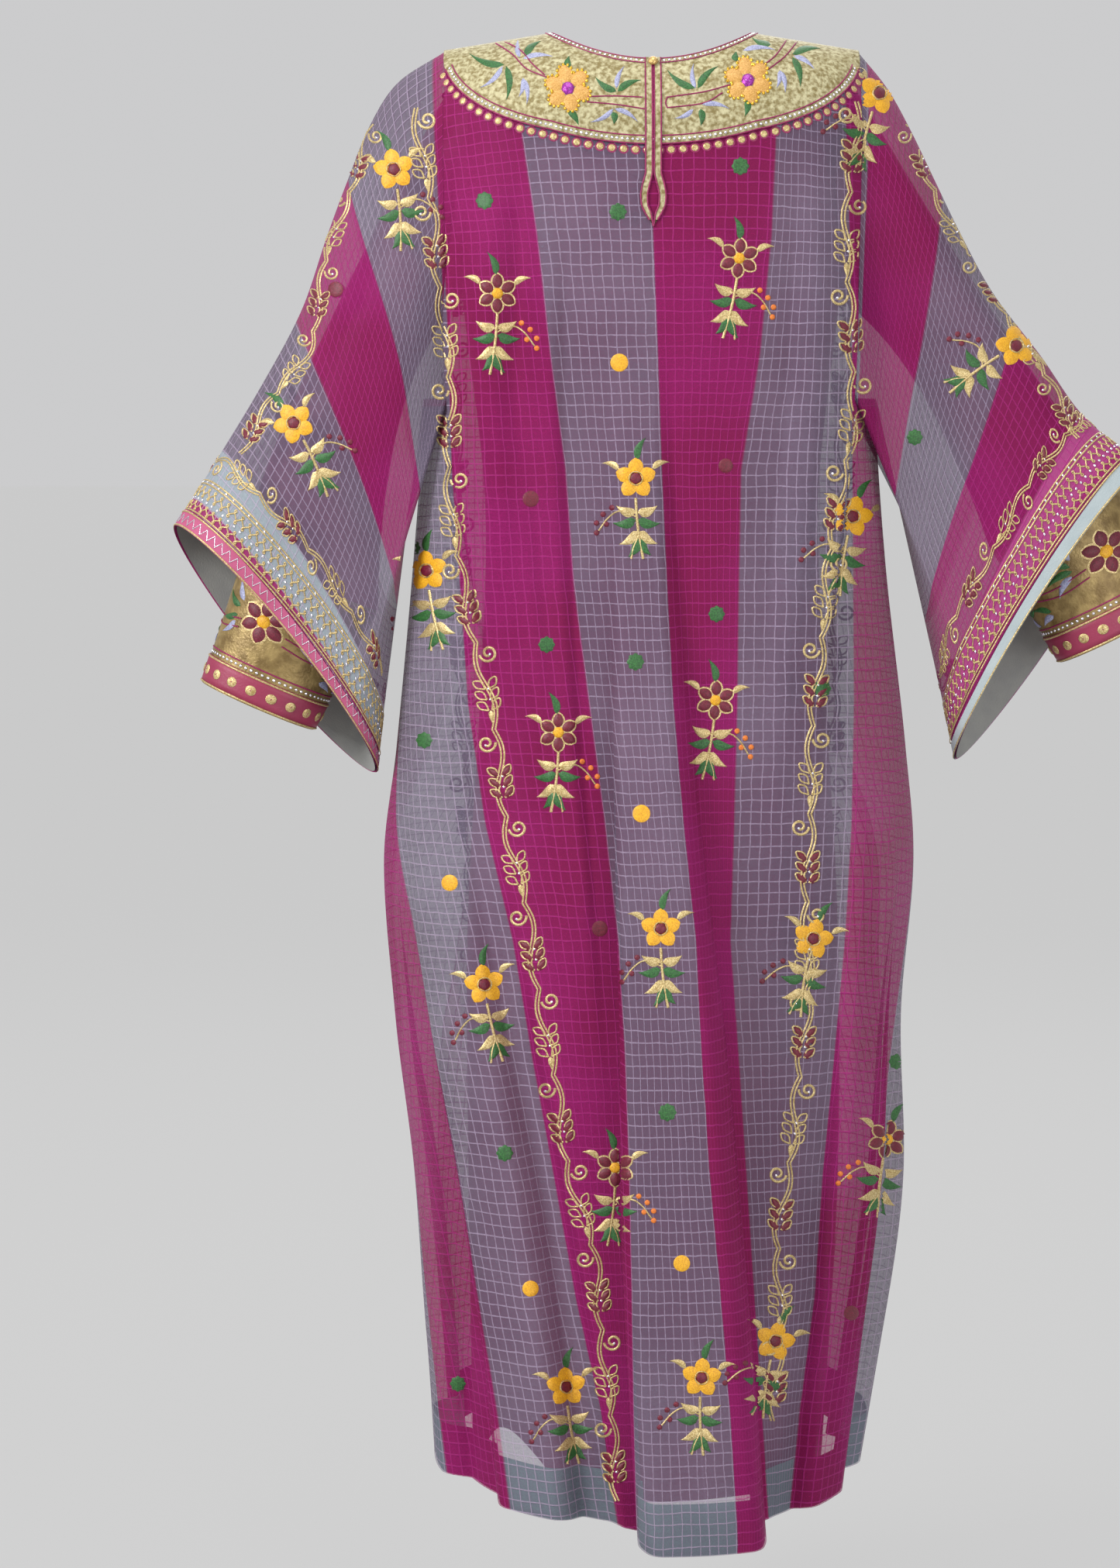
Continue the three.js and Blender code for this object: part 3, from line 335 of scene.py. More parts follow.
class Body:
    """A garment's body: a point for each place round it and each depth below the shoulders."""

    def __init__(self, rings, folds, drop):
        self.folds = folds
        self.drop = drop
        self.depths = np.arange(0, LAST_DEPTH + 1, DEPTH_STEP)
        self.around = np.linspace(-1, 7, AROUND_STEPS + 1)
        ring_rows = [self.ring(rings, depth) for depth in self.depths]
        self.xy = np.array([row[0] for row in ring_rows])
        self.length = np.array([row[1] for row in ring_rows])
        self.total = np.array([row[2] for row in ring_rows])

    def ring(self, rings, depth):
        value = {name: on_curve(rings, k, depth) for k, name in enumerate(RING_COLUMNS) if k}
        power = value["square"]

        def seam(column, wide):
            return math.asin(min(value[column] / wide, 1) ** (power / 2))

        left, right = value["left"], value["right"]
        first = -seam("seam_l", left)
        turns = [first, seam("seam_r", right), math.pi - seam("front_seam", right)]
        turns += [math.pi + seam("front_seam", left), 2 * math.pi + first]
        turn = first + np.linspace(0, 2 * math.pi, RING_STEPS + 1)
        s, c = np.sin(turn), np.cos(turn)
        wide = np.where(s < 0, left, right)
        deep = np.where(c > 0, value["back"], value["front"])
        x = wide * np.sign(s) * np.abs(s) ** (2 / power)
        y = -deep * np.sign(c) * np.abs(c) ** (2 / power)
        length = np.concatenate([[0], np.cumsum(np.hypot(np.diff(x), np.diff(y)))])
        seams = np.interp(turns, turn, length)
        along = np.interp(self.around, [-1, 1, 3, 5, 7], seams)
        points = np.stack([np.interp(along, length, x), np.interp(along, length, y)], -1)
        return points, along, length[-1]

    def read(self, table, around, depth):
        """A table's value at places round the body and depths, which may be arrays."""
        place = np.mod(around + 1, 8) / 8 * AROUND_STEPS
        row = np.clip(depth / DEPTH_STEP, 0, len(self.depths) - 1.001)
        i = np.minimum(place.astype(int), AROUND_STEPS - 1)
        j = row.astype(int)
        s, t = place - i, row - j
        if table.ndim == 3:
            s, t = s[..., None], t[..., None]
        upper = mix(table[j, i], table[j, i + 1], s)
        return mix(upper, mix(table[j + 1, i], table[j + 1, i + 1], s), t)

    def point(self, around, depth):
        around, depth = np.broadcast_arrays(np.asarray(around, float), np.asarray(depth, float))
        base = self.read(self.xy, around, depth)
        length = self.read(self.length, around, depth)
        reach = 0.03
        tangent = self.read(self.xy, around + reach, depth) - self.read(self.xy, around - reach, depth)
        tangent /= np.linalg.norm(tangent, axis=-1, keepdims=True)
        total = np.interp(depth, self.depths, self.total)
        out = np.zeros(depth.shape)
        across = np.zeros(depth.shape)
        for top, hem, half_top, half_hem, rise, flare, lean, starts, full, eases, ends in self.folds:
            strength = ease(starts, full, depth) * (1 - ease(eases, ends, depth))
            along = ease(starts, HEM_BACK, depth)
            offset = length - self.read(self.length, mix(top, hem, along), depth)
            offset = np.mod(offset + total / 2, total) - total / 2
            q = offset / mix(half_top, half_hem, along)
            size = np.abs(q)
            crest = 1 - ease(0.35, 1, size)
            shoulder = ease(0, 0.5, size) * (1 - ease(0.62, 1.15, size))
            out += strength * rise * crest
            across += strength * (lean * crest + flare * np.sign(q) * shoulder)
        x = base[..., 0] + tangent[..., 1] * out + tangent[..., 0] * across
        y = base[..., 1] - tangent[..., 0] * out + tangent[..., 1] * across
        share = np.minimum(depth / SHOULDER_ROUND, 1)
        y = y * np.sqrt(1 - (1 - share) ** 2)
        side = np.maximum(0, np.abs(base[..., 0]) - NECK_HALF) / (SHOULDER_HALF - NECK_HALF)
        z = -depth - self.drop - SHOULDER_FALL * side * (1 - ease(0, 260, depth))
        return np.stack([x, y, z], -1)


def grid_normals(points):
    """Outward normals of a grid of points whose rows go round and whose columns go down."""
    normal = np.cross(np.gradient(points, axis=1), np.gradient(points, axis=0))
    size = np.linalg.norm(normal, axis=-1, keepdims=True)
    return -normal / np.maximum(size, 1e-9)


def cloth(name, points, uv, finish, node, flip=False, thick=0.0):
    """A sheet of cloth through a grid of points, with a place on the cloth for each of them."""
    rows, columns = points.shape[:2]
    index = np.arange(rows * columns).reshape(rows, columns)
    a, b, c, d = index[:-1, :-1], index[1:, :-1], index[1:, 1:], index[:-1, 1:]
    quads = np.stack([a, d, c, b] if flip else [a, b, c, d], -1).reshape(-1, 4)
    mesh = bpy.data.meshes.new(name)
    mesh.from_pydata((points.reshape(-1, 3) * MM).tolist(), [], quads.tolist())
    layer = mesh.uv_layers.new(name="UVMap")
    corners = uv.reshape(-1, 2)[quads.reshape(-1)] * MM
    layer.data.foreach_set("uv", corners.reshape(-1))
    mesh.polygons.foreach_set("use_smooth", [True] * len(quads))
    mesh.materials.append(finish.material)
    piece = bpy.data.objects.new(name, mesh)
    bpy.context.collection.objects.link(piece)
    if thick:
        wall = piece.modifiers.new("wall", "SOLIDIFY")
        wall.thickness = thick * MM
        wall.offset = -1
        with bpy.context.temp_override(object=piece, active_object=piece):
            bpy.ops.object.modifier_apply(modifier=wall.name)
    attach(piece, "root")
    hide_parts(node)
    return piece


robe = Body(ROBE_RINGS, ROBE_FOLDS, 0)

# Where the edges of the back's stripes are seen: a row of heights in the picture, and for each edge
# from left to right its columns at those heights. The middle edge runs down from the slit.
STRIPE_ROWS = (152, 303, 455, 607, 759, 910, 1062, 1214, 1366, 1517, 1669, 1821, 1972)
STRIPE_EDGES = (
    (405, 415, 425, 435, 445, 463, 486, 503, 528, 554, 587, 611, 635),
    (552, 573, 580, 584, 595, 605, 627, 663, 688, 716, 743, 777, 799),
    (670, 693, 710, 730, 741, 761, 781, 798, 807, 812, 815, 817, 821),
    (839, 844, 850, 855, 862, 870, 883, 899, 907, 917, 931, 943, 953),
    (1003, 996, 981, 956, 953, 951, 947, 942, 953, 963, 973, 983, 993),
    (1092, 1097, 1100, 1101, 1102, 1103, 1100, 1091, 1077, 1062, 1052, 1032, 1017),
    (1254, 1254, 1252, 1249, 1236, 1214, 1190, 1180, 1173, 1165, 1155, 1138, 1121),
)
SIDE_LIMIT = 1.22
PIXELS_PER_MM = 1.45
all_round, all_down = np.meshgrid(np.linspace(-4, 4, AROUND_STEPS + 1), robe.depths)
folded = robe.point(all_round, all_down)
steps_round = np.linalg.norm(np.diff(folded, axis=1), axis=-1)
cloth_place = np.concatenate([np.zeros((len(robe.depths), 1)), np.cumsum(steps_round, axis=1)], axis=1)
seen_column, seen_row = sight(folded)
edges = [np.interp(seen_row, STRIPE_ROWS, columns) for columns in STRIPE_EDGES]
seen_place = np.zeros(seen_column.shape)
for k, (low_edge, high_edge) in enumerate(zip(edges, edges[1:])):
    share = np.clip((seen_column - low_edge) / (high_edge - low_edge), 0, 1)
    seen_place += share * STRIPE
seen_place -= 3 * STRIPE
seen_place += np.minimum(seen_column - edges[0], 0) / PIXELS_PER_MM
seen_place += np.maximum(seen_column - edges[-1], 0) / PIXELS_PER_MM
first_seen = int(round((4 - SIDE_LIMIT) / 8 * AROUND_STEPS))
last_seen = AROUND_STEPS - first_seen
left_shift = seen_place[:, first_seen] - cloth_place[:, first_seen]
right_shift = seen_place[:, last_seen] - cloth_place[:, last_seen]
left_place = cloth_place + left_shift[:, None]
cloth_place += right_shift[:, None]
cloth_place[:, :first_seen] = left_place[:, :first_seen]
cloth_place[:, first_seen : last_seen + 1] = seen_place[:, first_seen : last_seen + 1]


def robe_length(around, depth):
    """Place of a point across the robe's stripes, along the cloth."""
    place = np.clip((around + 4) / 8 * AROUND_STEPS, 0, AROUND_STEPS - 0.001)
    row = np.clip(depth / DEPTH_STEP, 0, len(robe.depths) - 1.001)
    i, j = place.astype(int), row.astype(int)
    s, t = place - i, row - j
    upper = mix(cloth_place[j, i], cloth_place[j, i + 1], s)
    return mix(upper, mix(cloth_place[j + 1, i], cloth_place[j + 1, i + 1], s), t)


def front_length(around, depth):
    """Place across the front's stripes, measured from its middle."""
    base = robe.read(robe.length, around, depth) - robe.read(robe.length, around * 0 + 4, depth)
    return base * FRONT_FULLNESS + STRIPE / 2


def hem_depth(around, back, front):
    return mix(front, back, (1 + np.cos(around / 4 * math.pi)) / 2)


def grey_stripes(place):
    """1 on the grey stripes and 0 on the pink ones, by place across them."""
    turn = place.math("FLOORED_MODULO", place / (STRIPE * MM), 2.0)
    return turn.step(0.985, 1.015) * (1 - turn.step(1.985, 1.999))


class StripedCloth(Finish):
    """Sheer cloth in broad pink and grey stripes, woven with pale lines that cross in small checks."""

    def __init__(self, name, sleeve_shift=None, reach=0.0, border=None):
        super().__init__(name, roughness=0.78)
        across, down = self.place()
        stripe_place = across
        if sleeve_shift is not None:
            near_half = across.step(-0.0006, 0.0006)
            last_stripe = down.math("MINIMUM", down, SLEEVE_LAST * MM)
            shifted = last_stripe + sleeve_shift * MM + near_half * (SLEEVE_STRIPE * MM)
            stripe_place = shifted * (STRIPE / SLEEVE_STRIPE)
        grey_side = grey_stripes(stripe_place)
        uneven = self.noise(30.0, 3.0, "UV") * 0.004
        lines = across.math("MINIMUM", (across + uneven).wave(CHECK_ACROSS), (down + uneven).wave(CHECK_DOWN))
        check = 1 - lines.step(0.02, 0.2)
        cloudy = self.noise(7.0)
        slub = self.noise(380.0, 2.0, "UV")
        pink = cloudy.step(0.35, 0.7).blend(*PINK_TONES)
        grey = cloudy.step(0.35, 0.7).blend(*GREY_TONES)
        colour = grey_side.blend(pink, grey)
        pale = grey_side.blend(*CHECK_TONES)
        weave = check * 0.2 + (slub - 0.5) * 0.35
        alpha = weave + grey_side.math("MULTIPLY_ADD", grey_side, GREY_COVER_LOSS, PINK_COVER)
        if border:
            faced = down.step(reach * BORDER_FROM, reach * (BORDER_FROM + 0.007))
            colour = (faced * 0.85).blend(colour, border)
            pink_rim = down.step(reach * RIM_FROM, reach * (RIM_FROM + 0.004))
            colour = pink_rim.blend(colour, RIM_TONE)
            alpha = alpha + faced * 0.12
        self.set("Base Color", (check * (slub * 0.5 + 0.4)).blend(colour, pale))
        self.set("Alpha", alpha)
        self.bump(check + slub * 0.7, 0.0006)
        self.shader.inputs["Specular IOR Level"].default_value = 0.25


robe_cloth = StripedCloth("striped_cloth")


def panel_rows(count):
    """Rows that lie closer together towards the shoulders."""
    return np.linspace(0, 1, count)[:, None] ** 1.35


def body_panel(name, first, last, neck_depth, columns, rows, node):
    """A front or back of the robe, from the shoulders and neckline to the hem."""
    around = np.linspace(first, last, columns)[None, :]
    share = np.clip(np.abs(robe.point(around, 0)[..., 0]) / NECK_HALF, 0, 1)
    start = neck_depth * (1 - share**2)
    around = around + np.zeros((rows, 1))
    hem = hem_depth(around, HEM_BACK, HEM_FRONT)
    depth = mix(start, hem, panel_rows(rows))
    points = robe.point(around, depth)
    uv = np.stack([front_length(around, depth), -depth], -1)
    return cloth(name, points, uv, robe_cloth, node)


# Back, with the slit that opens below the nape down to a small keyhole
SLIT_HALF = 0.6
KEYHOLE_TOP = 132
KEYHOLE_BOTTOM = 164
KEYHOLE_HALF = 5


def slit_half(depth):
    inside = np.clip((depth - KEYHOLE_TOP) / (KEYHOLE_BOTTOM - KEYHOLE_TOP), 0, 1)
    round_part = KEYHOLE_HALF * np.sqrt(np.clip(1 - (inside * 1.6 - 0.6) ** 2, 0, 1)) * (inside > 0)
    straight = np.where(depth < KEYHOLE_TOP, SLIT_HALF, 0)
    return np.maximum(np.minimum(round_part, SLIT_HALF + inside * 22), straight)


def back_half(side, columns=84, rows=220):
    """One side of the back, which meets the other below the keyhole."""
    place = np.linspace(0, 1, columns)[None, :] ** 1.1 * side
    share = np.clip(np.abs(robe.point(place, 0)[..., 0]) / NECK_HALF, 0, 1)
    start = NECK_BACK * (1 - share**2)
    place = place + np.zeros((rows, 1))
    hem = hem_depth(place, HEM_BACK, HEM_FRONT)
    depth = mix(start, hem, panel_rows(rows))
    points = robe.point(place, depth)
    edge = slit_half(depth) * side
    points[..., 0] += edge * np.clip(1 - np.abs(points[..., 0]) / 30, 0, 1) ** 2
    uv = np.stack([robe_length(place, depth), -depth], -1)
    return points, uv


left_points, left_uv = back_half(-1)
right_points, right_uv = back_half(1)
back_points = np.concatenate([left_points[:, ::-1], right_points], axis=1)
back_uv = np.concatenate([left_uv[:, ::-1], right_uv], axis=1)
back = cloth("robe_back", back_points, back_uv, robe_cloth, "back_panel")

front = body_panel("robe_front", 3, 5, NECK_FRONT, 120, 170, "front_panel")


def gore(name, first, last, node, columns=100, rows=130):
    """A side gore, from the underarm to the hem."""
    around = np.linspace(first, last, columns)[None, :] + np.zeros((rows, 1))
    hem = hem_depth(around, HEM_BACK, HEM_FRONT)
    depth = mix(UNDERARM + 0.3, hem, np.linspace(0, 1, rows)[:, None])
    points = robe.point(around, depth)
    uv = np.stack([robe_length(around, depth), -depth], -1)
    piece = cloth(name, points, uv, robe_cloth, node)


gore("robe_gore_right", 1, 3, "side_gore_right")
gore("robe_gore_left", -3, -1, "side_gore_left")

# Hem turn-up
# The hem is folded up inside by about five centimetres and sewn down. It shows through the sheer
# cloth as a denser, duller band.
HEM_TURNUP = 47
TURNUP_ROWS = 8
TURNUP_INSET = 1.4
TURNUP_THICK = 0.8
TURNUP_TONES = ((0.2, 0.006, 0.07), (0.16, 0.34, 0.31))
turnup_finish = Finish("hem_turnup", roughness=0.8)
turnup_across = turnup_finish.place()[0]
turnup_finish.set("Base Color", grey_stripes(turnup_across).blend(*TURNUP_TONES))
turnup_finish.bump(turnup_finish.noise(600.0, kind="UV"), 0.0004)


def turnup(name, first, last, node, columns=110):
    around = np.linspace(first, last, columns)[None, :] + np.zeros((TURNUP_ROWS, 1))
    hem = hem_depth(around, HEM_BACK, HEM_FRONT)
    depth = hem - HEM_TURNUP * (1 - np.linspace(0, 0.99, TURNUP_ROWS)[:, None])
    points = robe.point(around, depth)
    points = points - grid_normals(points) * TURNUP_INSET
    across_place = front_length(around, depth) if first == 3 else robe_length(around, depth)
    uv = np.stack([across_place, -depth], -1)
    piece = cloth(name, points, uv, turnup_finish, node, thick=TURNUP_THICK)


for turnup_name, turnup_ends in (("back", (-1, 1)), ("right", (1, 3)), ("front", (3, 5)), ("left", (-3, -1))):
    turnup(f"turnup_{turnup_name}", *turnup_ends, f"hem_turnup_{turnup_name}")

# Wide sleeves
# Two wide sleeves of the same striped cloth, each with a broad embroidered border, a pale facing
# inside its mouth and a narrow strip along its edge. They hang from the arms and droop behind them.
ARMS = {
    "left": {"side": -1, "ridge": (437, -447), "low": (254, -674), "elbow": (274, -330)},
    "right": {"side": 1, "ridge": (455, -392), "low": (283, -662), "elbow": (292, -304)},
}
ARMS["left"].update(wrist=(362, -612), forearm=(0.4, -0.917), bow=1)
ARMS["right"].update(wrist=(428, -547), forearm=(0.45, -0.893), bow=2)
RIDGE_BOW = (
    (0, 0, 0),
    (0.09, 23, 3),
    (0.18, 26, -1),
    (0.29, 19, -9),
    (0.4, 10, -17),
    (0.54, -3, -24),
    (0.7, -5, -21),
    (0.85, -3, -20),
    (1, 0, 0),
)
BOWS = {k: [on_curve(RIDGE_BOW, k, a) for a in np.linspace(0, 1, 101)] for k in (1, 2)}
SLEEVE_HALF_DEPTH = 66
SLEEVE_SKEW = 24
RIPPLES = 3
RIPPLE_RISE = 5
ARMHOLE_EDGE = 0.36
ARMPIT_GAP = 1.1
SEAM_GAP = 0.3
SLEEVE_FACING = 0.16
SLEEVE_EDGE = 0.035
SLEEVE_COLUMNS = 129
FACING_INSET = -1.4


def armhole(side, shares):
    """Points round the robe's armhole, from the shoulder by the back to the underarm and up again."""
    share = np.mod(shares, 1)
    near = share < 0.5
    s = np.where(near, share, 1 - share)
    seam = np.where(near, side, 3 * side)
    depth = UNDERARM * (np.minimum(s, ARMHOLE_EDGE) / ARMHOLE_EDGE) ** 1.35
    beneath = np.clip((s - ARMHOLE_EDGE) / (0.5 - ARMHOLE_EDGE), 0, 1)
    around = mix(seam, 2 * side, beneath)
    points = robe.point(around, depth)
    along = robe.point(around + 0.02, depth) - robe.point(around - 0.02, depth)
    outward = np.stack([along[..., 1], -along[..., 0], 0 * depth], -1)
    outward /= np.maximum(np.linalg.norm(outward, axis=-1, keepdims=True), 1e-9)
    on_edge = (s < ARMHOLE_EDGE)[..., None]
    shift = np.array([side * SEAM_GAP, 0, 0])
    return points + np.where(on_edge, shift, outward * ARMPIT_GAP)


def sleeve_points(arm, shares, along):
    """Points of a wide sleeve, by share of the way round from its ridge and along it to its hem."""
    shares, along = np.broadcast_arrays(np.asarray(shares, float), np.asarray(along, float))
    turn = 2 * math.pi * shares
    (ridge_out, ridge_up), (low_out, low_up) = arm["ridge"], arm["low"]
    reach = math.hypot(ridge_out - low_out, ridge_up - low_up)
    ux, uz = (ridge_out - low_out) / reach, (ridge_up - low_up) / reach
    out = mix(low_out, ridge_out, 0.5) + ux * reach / 2 * np.cos(turn) - uz * SLEEVE_SKEW * np.sin(turn)
    up = mix(low_up, ridge_up, 0.5) + uz * reach / 2 * np.cos(turn) + ux * SLEEVE_SKEW * np.sin(turn)
    across = np.sign(np.sin(turn)) * np.abs(np.sin(turn)) ** 0.8
    hem = np.stack([arm["side"] * out, -SLEEVE_HALF_DEPTH * across, up], -1)
    points = mix(armhole(arm["side"], shares), hem, along[..., None])
    bow = np.interp(np.clip(along, 0, 1), np.linspace(0, 1, 101), BOWS[arm["bow"]])
    bow = bow * np.maximum(0, np.cos(turn)) ** 1.5
    run_out, run_up = ridge_out - SHOULDER_HALF, ridge_up + SHOULDER_FALL
    run = math.hypot(run_out, run_up)
    points[..., 0] -= arm["side"] * bow * run_up / run
    points[..., 2] += bow * run_out / run
    ripple = RIPPLE_RISE * ease(0.2, 1, along) * np.sin(turn * RIPPLES)
    points[..., 1] -= ripple * np.abs(np.sin(turn))
    return points


class SleeveCloth:
    """A sleeve's cloth, with distances round it from the ridge and along it from the armhole."""

    def __init__(self, arm, step=160):
        self.arm = arm
        self.rounds = np.linspace(-0.5, 0.5, 2 * step + 1)
        self.alongs = np.linspace(0, 1, step + 1)
        rounds, alongs = np.meshgrid(self.rounds, self.alongs)
        points = sleeve_points(arm, rounds, alongs)
        around = np.linalg.norm(np.diff(points, axis=1), axis=-1)
        self.width = np.concatenate([np.zeros((step + 1, 1)), np.cumsum(around, axis=1)], axis=1)
        self.width -= self.width[:, step : step + 1]
        ridge = np.linalg.norm(np.diff(points[:, step], axis=0), axis=-1)
        self.length = np.concatenate([[0], np.cumsum(ridge)])

    def uv(self, shares, along):
        out = np.empty(shares.shape + (2,))
        wrapped = np.mod(shares + 0.5, 1) - 0.5
        wrapped = np.where((shares >= 0.5) & (wrapped < -0.4999), 0.5, wrapped)
        column = np.clip((wrapped + 0.5) * (len(self.rounds) - 1), 0, len(self.rounds) - 1.001)
        row = np.clip(along * (len(self.alongs) - 1), 0, len(self.alongs) - 1.001)
        i, j = column.astype(int), row.astype(int)
        s, t = column - i, row - j
        upper = mix(self.width[j, i], self.width[j, i + 1], s)
        lower = mix(self.width[j + 1, i], self.width[j + 1, i + 1], s)
        out[..., 0] = mix(upper, lower, t)
        out[..., 1] = np.interp(along, self.alongs, self.length)
        return out


sleeve_cloths = {name: SleeveCloth(arm) for name, arm in ARMS.items()}

facing_finish = Finish("sleeve_facing", roughness=0.8)
facing_finish.set("Base Color", facing_finish.noise(60.0).blend((0.2, 0.2, 0.2), (0.27, 0.27, 0.25)))
facing_finish.bump(facing_finish.noise(500.0, kind="UV"), 0.0004)


def sleeve_piece(name, arm_name, first, last, lift, finish, node, rows):
    arm = ARMS[arm_name]
    shares = np.linspace(-0.5, 0.5, SLEEVE_COLUMNS)[None, :] + np.zeros((rows, 1))
    along = np.linspace(first, last, rows)[:, None] + np.zeros((1, SLEEVE_COLUMNS))
    points = sleeve_points(arm, shares, along)
    uv = sleeve_cloths[arm_name].uv(shares, along)
    points = points - grid_normals(points) * arm["side"] * lift
    return cloth(name, points, uv, finish, node, flip=arm["side"] > 0)


for arm_name, stripe_shift, border_tone in (
    ("left", -12, (0.33, 0.39, 0.43)),
    ("right", 126, (0.4, 0.06, 0.22)),
):
    reach = float(sleeve_cloths[arm_name].length[-1]) * MM
    striped = StripedCloth(f"sleeve_cloth_{arm_name}", stripe_shift, reach, border_tone)
    sleeve = sleeve_piece(
        f"sleeve_{arm_name}_cloth", arm_name, 0, 1, 0, striped, f"sleeve_{arm_name}", 90
    )
    facing = sleeve_piece(
        f"facing_{arm_name}",
        arm_name,
        1 - SLEEVE_FACING,
        0.997,
        FACING_INSET,
        facing_finish,
        f"sleeve_facing_{arm_name}",
        14,
    )

# Under-dress
# A plain magenta under-dress, cut as a back and a front, hangs inside the robe. It shows through the
# sheer cloth and darkens it, and its uneven hem hangs near the level of the turned-up hem.
UNDER_RINGS = (
    (0, 178, 177, 89, 90, 165, 165, 165, 2.7),
    (100, 180, 178, 96, 102, 165, 165, 165, 2.7),
    (236, 172, 172, 101, 112, 158, 158, 158, 2.5),
    (420, 152, 154, 96, 106, 138, 140, 140, 2.3),
    (600, 156, 162, 100, 108, 140, 146, 144, 2.2),
    (800, 164, 174, 108, 116, 146, 156, 150, 2.1),
    (1050, 160, 176, 114, 124, 140, 156, 146, 2),
    (1320, 156, 162, 118, 130, 136, 142, 142, 2),
)
UNDER_FOLDS = (
    (-0.3, -0.4, 40, 50, 9, 0, 0, 500, 1100, 1500, 1600),
    (-1.6, -1.6, 40, 46, 9, 0, 0, 500, 1100, 1500, 1600),
    (0.8, 0.9, 40, 46, 9, 0, 0, 500, 1100, 1500, 1600),
    (3.2, 3.2, 40, 46, 9, 0, 0, 500, 1100, 1500, 1600),
    (4.7, 4.7, 40, 46, 9, 0, 0, 500, 1100, 1500, 1600),
)
UNDER_ARMHOLE = 236
UNDER_DROP = 1.7
UNDER_STRAIGHT = 110
UNDER_HEM = (1330, 1262)
BODICE_SHARE = 0.4
LEFT_HEM_LIFT = (46, -0.95, 0.34)
RIGHT_HEM_DROP = (24, 1.3, 0.45)
under = Body(UNDER_RINGS, UNDER_FOLDS, UNDER_DROP)

lining = Finish("magenta_lining", roughness=0.55)
lining.set("Base Color", lining.noise(14.0).blend((0.19, 0.003, 0.055), (0.27, 0.007, 0.09)))
lining.bump(lining.noise(700.0, kind="UV"), 0.0003)


def under_side(depth):
    return 1 + np.clip((depth - UNDER_STRAIGHT) / (UNDER_ARMHOLE - UNDER_STRAIGHT), 0, 1) ** 2.2


def swell(around, rise, place, spread):
    """A smooth local change of the hem round one place."""
    return rise * np.exp(-(((around - place) / spread) ** 2))


def under_panel(name, centre, neck_depth, node):
    top = np.linspace(centre - 1, centre + 1, 110)[None, :]
    share = np.clip(np.abs(under.point(top, 0)[..., 0]) / NECK_HALF, 0, 1)
    start = neck_depth * (1 - share**2)
    v = np.linspace(0, 1, 110)[:, None]
    bodice = np.clip(v / BODICE_SHARE, 0, 1) ** 1.4
    skirt = np.clip((v - BODICE_SHARE) / (1 - BODICE_SHARE), 0, 1)
    around = centre + (top - centre) * under_side(UNDER_ARMHOLE * bodice)
    hem = hem_depth(around, *UNDER_HEM) - swell(around, *LEFT_HEM_LIFT) + swell(around, *RIGHT_HEM_DROP)
    depth = mix(mix(start, UNDER_ARMHOLE, bodice), hem, skirt)
    points = under.point(around, depth)
    uv = np.stack([(around - centre) * 180, -depth], -1)
    piece = cloth(name, points, uv, lining, node)


under_panel("lining_back", 0, NECK_BACK, "under_dress_back")
under_panel("lining_front", 4, NECK_FRONT, "under_dress_front")

# Narrow sleeves and gold cuffs
# The under-dress has narrow sleeves, which pass through the wide ones and end in stiff cuffs of gold
# cloth. Each sleeve bends at the elbow.
CUFF_LENGTH = 125
CUFF_BAND = 27
CUFF_TOP = (67, 43)
CUFF_END = (56, 38)
NARROW_HALF = (48, 42)
ELBOW_ACROSS = (0.925, 0.38)
ARM_COLUMNS = 65


def round_arm(rows):
    """Shares of the way round an arm, repeated in rows along it."""
    return np.linspace(-0.5, 0.5, ARM_COLUMNS)[None, :] + np.zeros((rows, 1))


def narrow_armhole(side, shares):
    share = np.mod(shares, 1)
    s = np.where(share < 0.5, share, 1 - share)
    depth = UNDER_ARMHOLE * (s / 0.5) ** 1.2
    reach = under_side(depth)
    around = np.where(share < 0.5, side * reach, 4 * side - side * reach)
    return under.point(around, depth) + np.array([side * 0.4, 0, 0])


def arm_ring(side, centre, across, half, shares):
    turn = 2 * math.pi * shares
    x = side * (centre[0] + across[0] * half[0] * np.cos(turn))
    z = centre[1] + across[1] * half[0] * np.cos(turn)
    return np.stack(np.broadcast_arrays(x, -half[1] * np.sin(turn), z), -1)


def cuff_points(arm, shares, above, lift=0.0):
    share = above / CUFF_LENGTH
    half = (mix(CUFF_END[0], CUFF_TOP[0], share) + lift, mix(CUFF_END[1], CUFF_TOP[1], share) + lift)
    fx, fz = arm["forearm"]
    centre = (arm["wrist"][0] - fx * above, arm["wrist"][1] - fz * above)
    return arm_ring(arm["side"], centre, (-fz, fx), half, shares)


cuff_finish = Finish("gold_cuff", roughness=0.42, metallic=0.35)
cuff_tone = cuff_finish.noise(90.0, 4.0).step(0.3, 0.75).blend((0.16, 0.1, 0.03), (0.34, 0.24, 0.09))
cuff_finish.set("Base Color", cuff_tone)
cuff_finish.bump(cuff_finish.noise(420.0, 3.0), 0.001)
band_finish = Finish("magenta_band", roughness=0.5)
band_finish.set("Base Color", band_finish.noise(40.0).blend((0.2, 0.012, 0.045), (0.3, 0.03, 0.08)))
band_finish.bump(band_finish.noise(500.0), 0.0004)

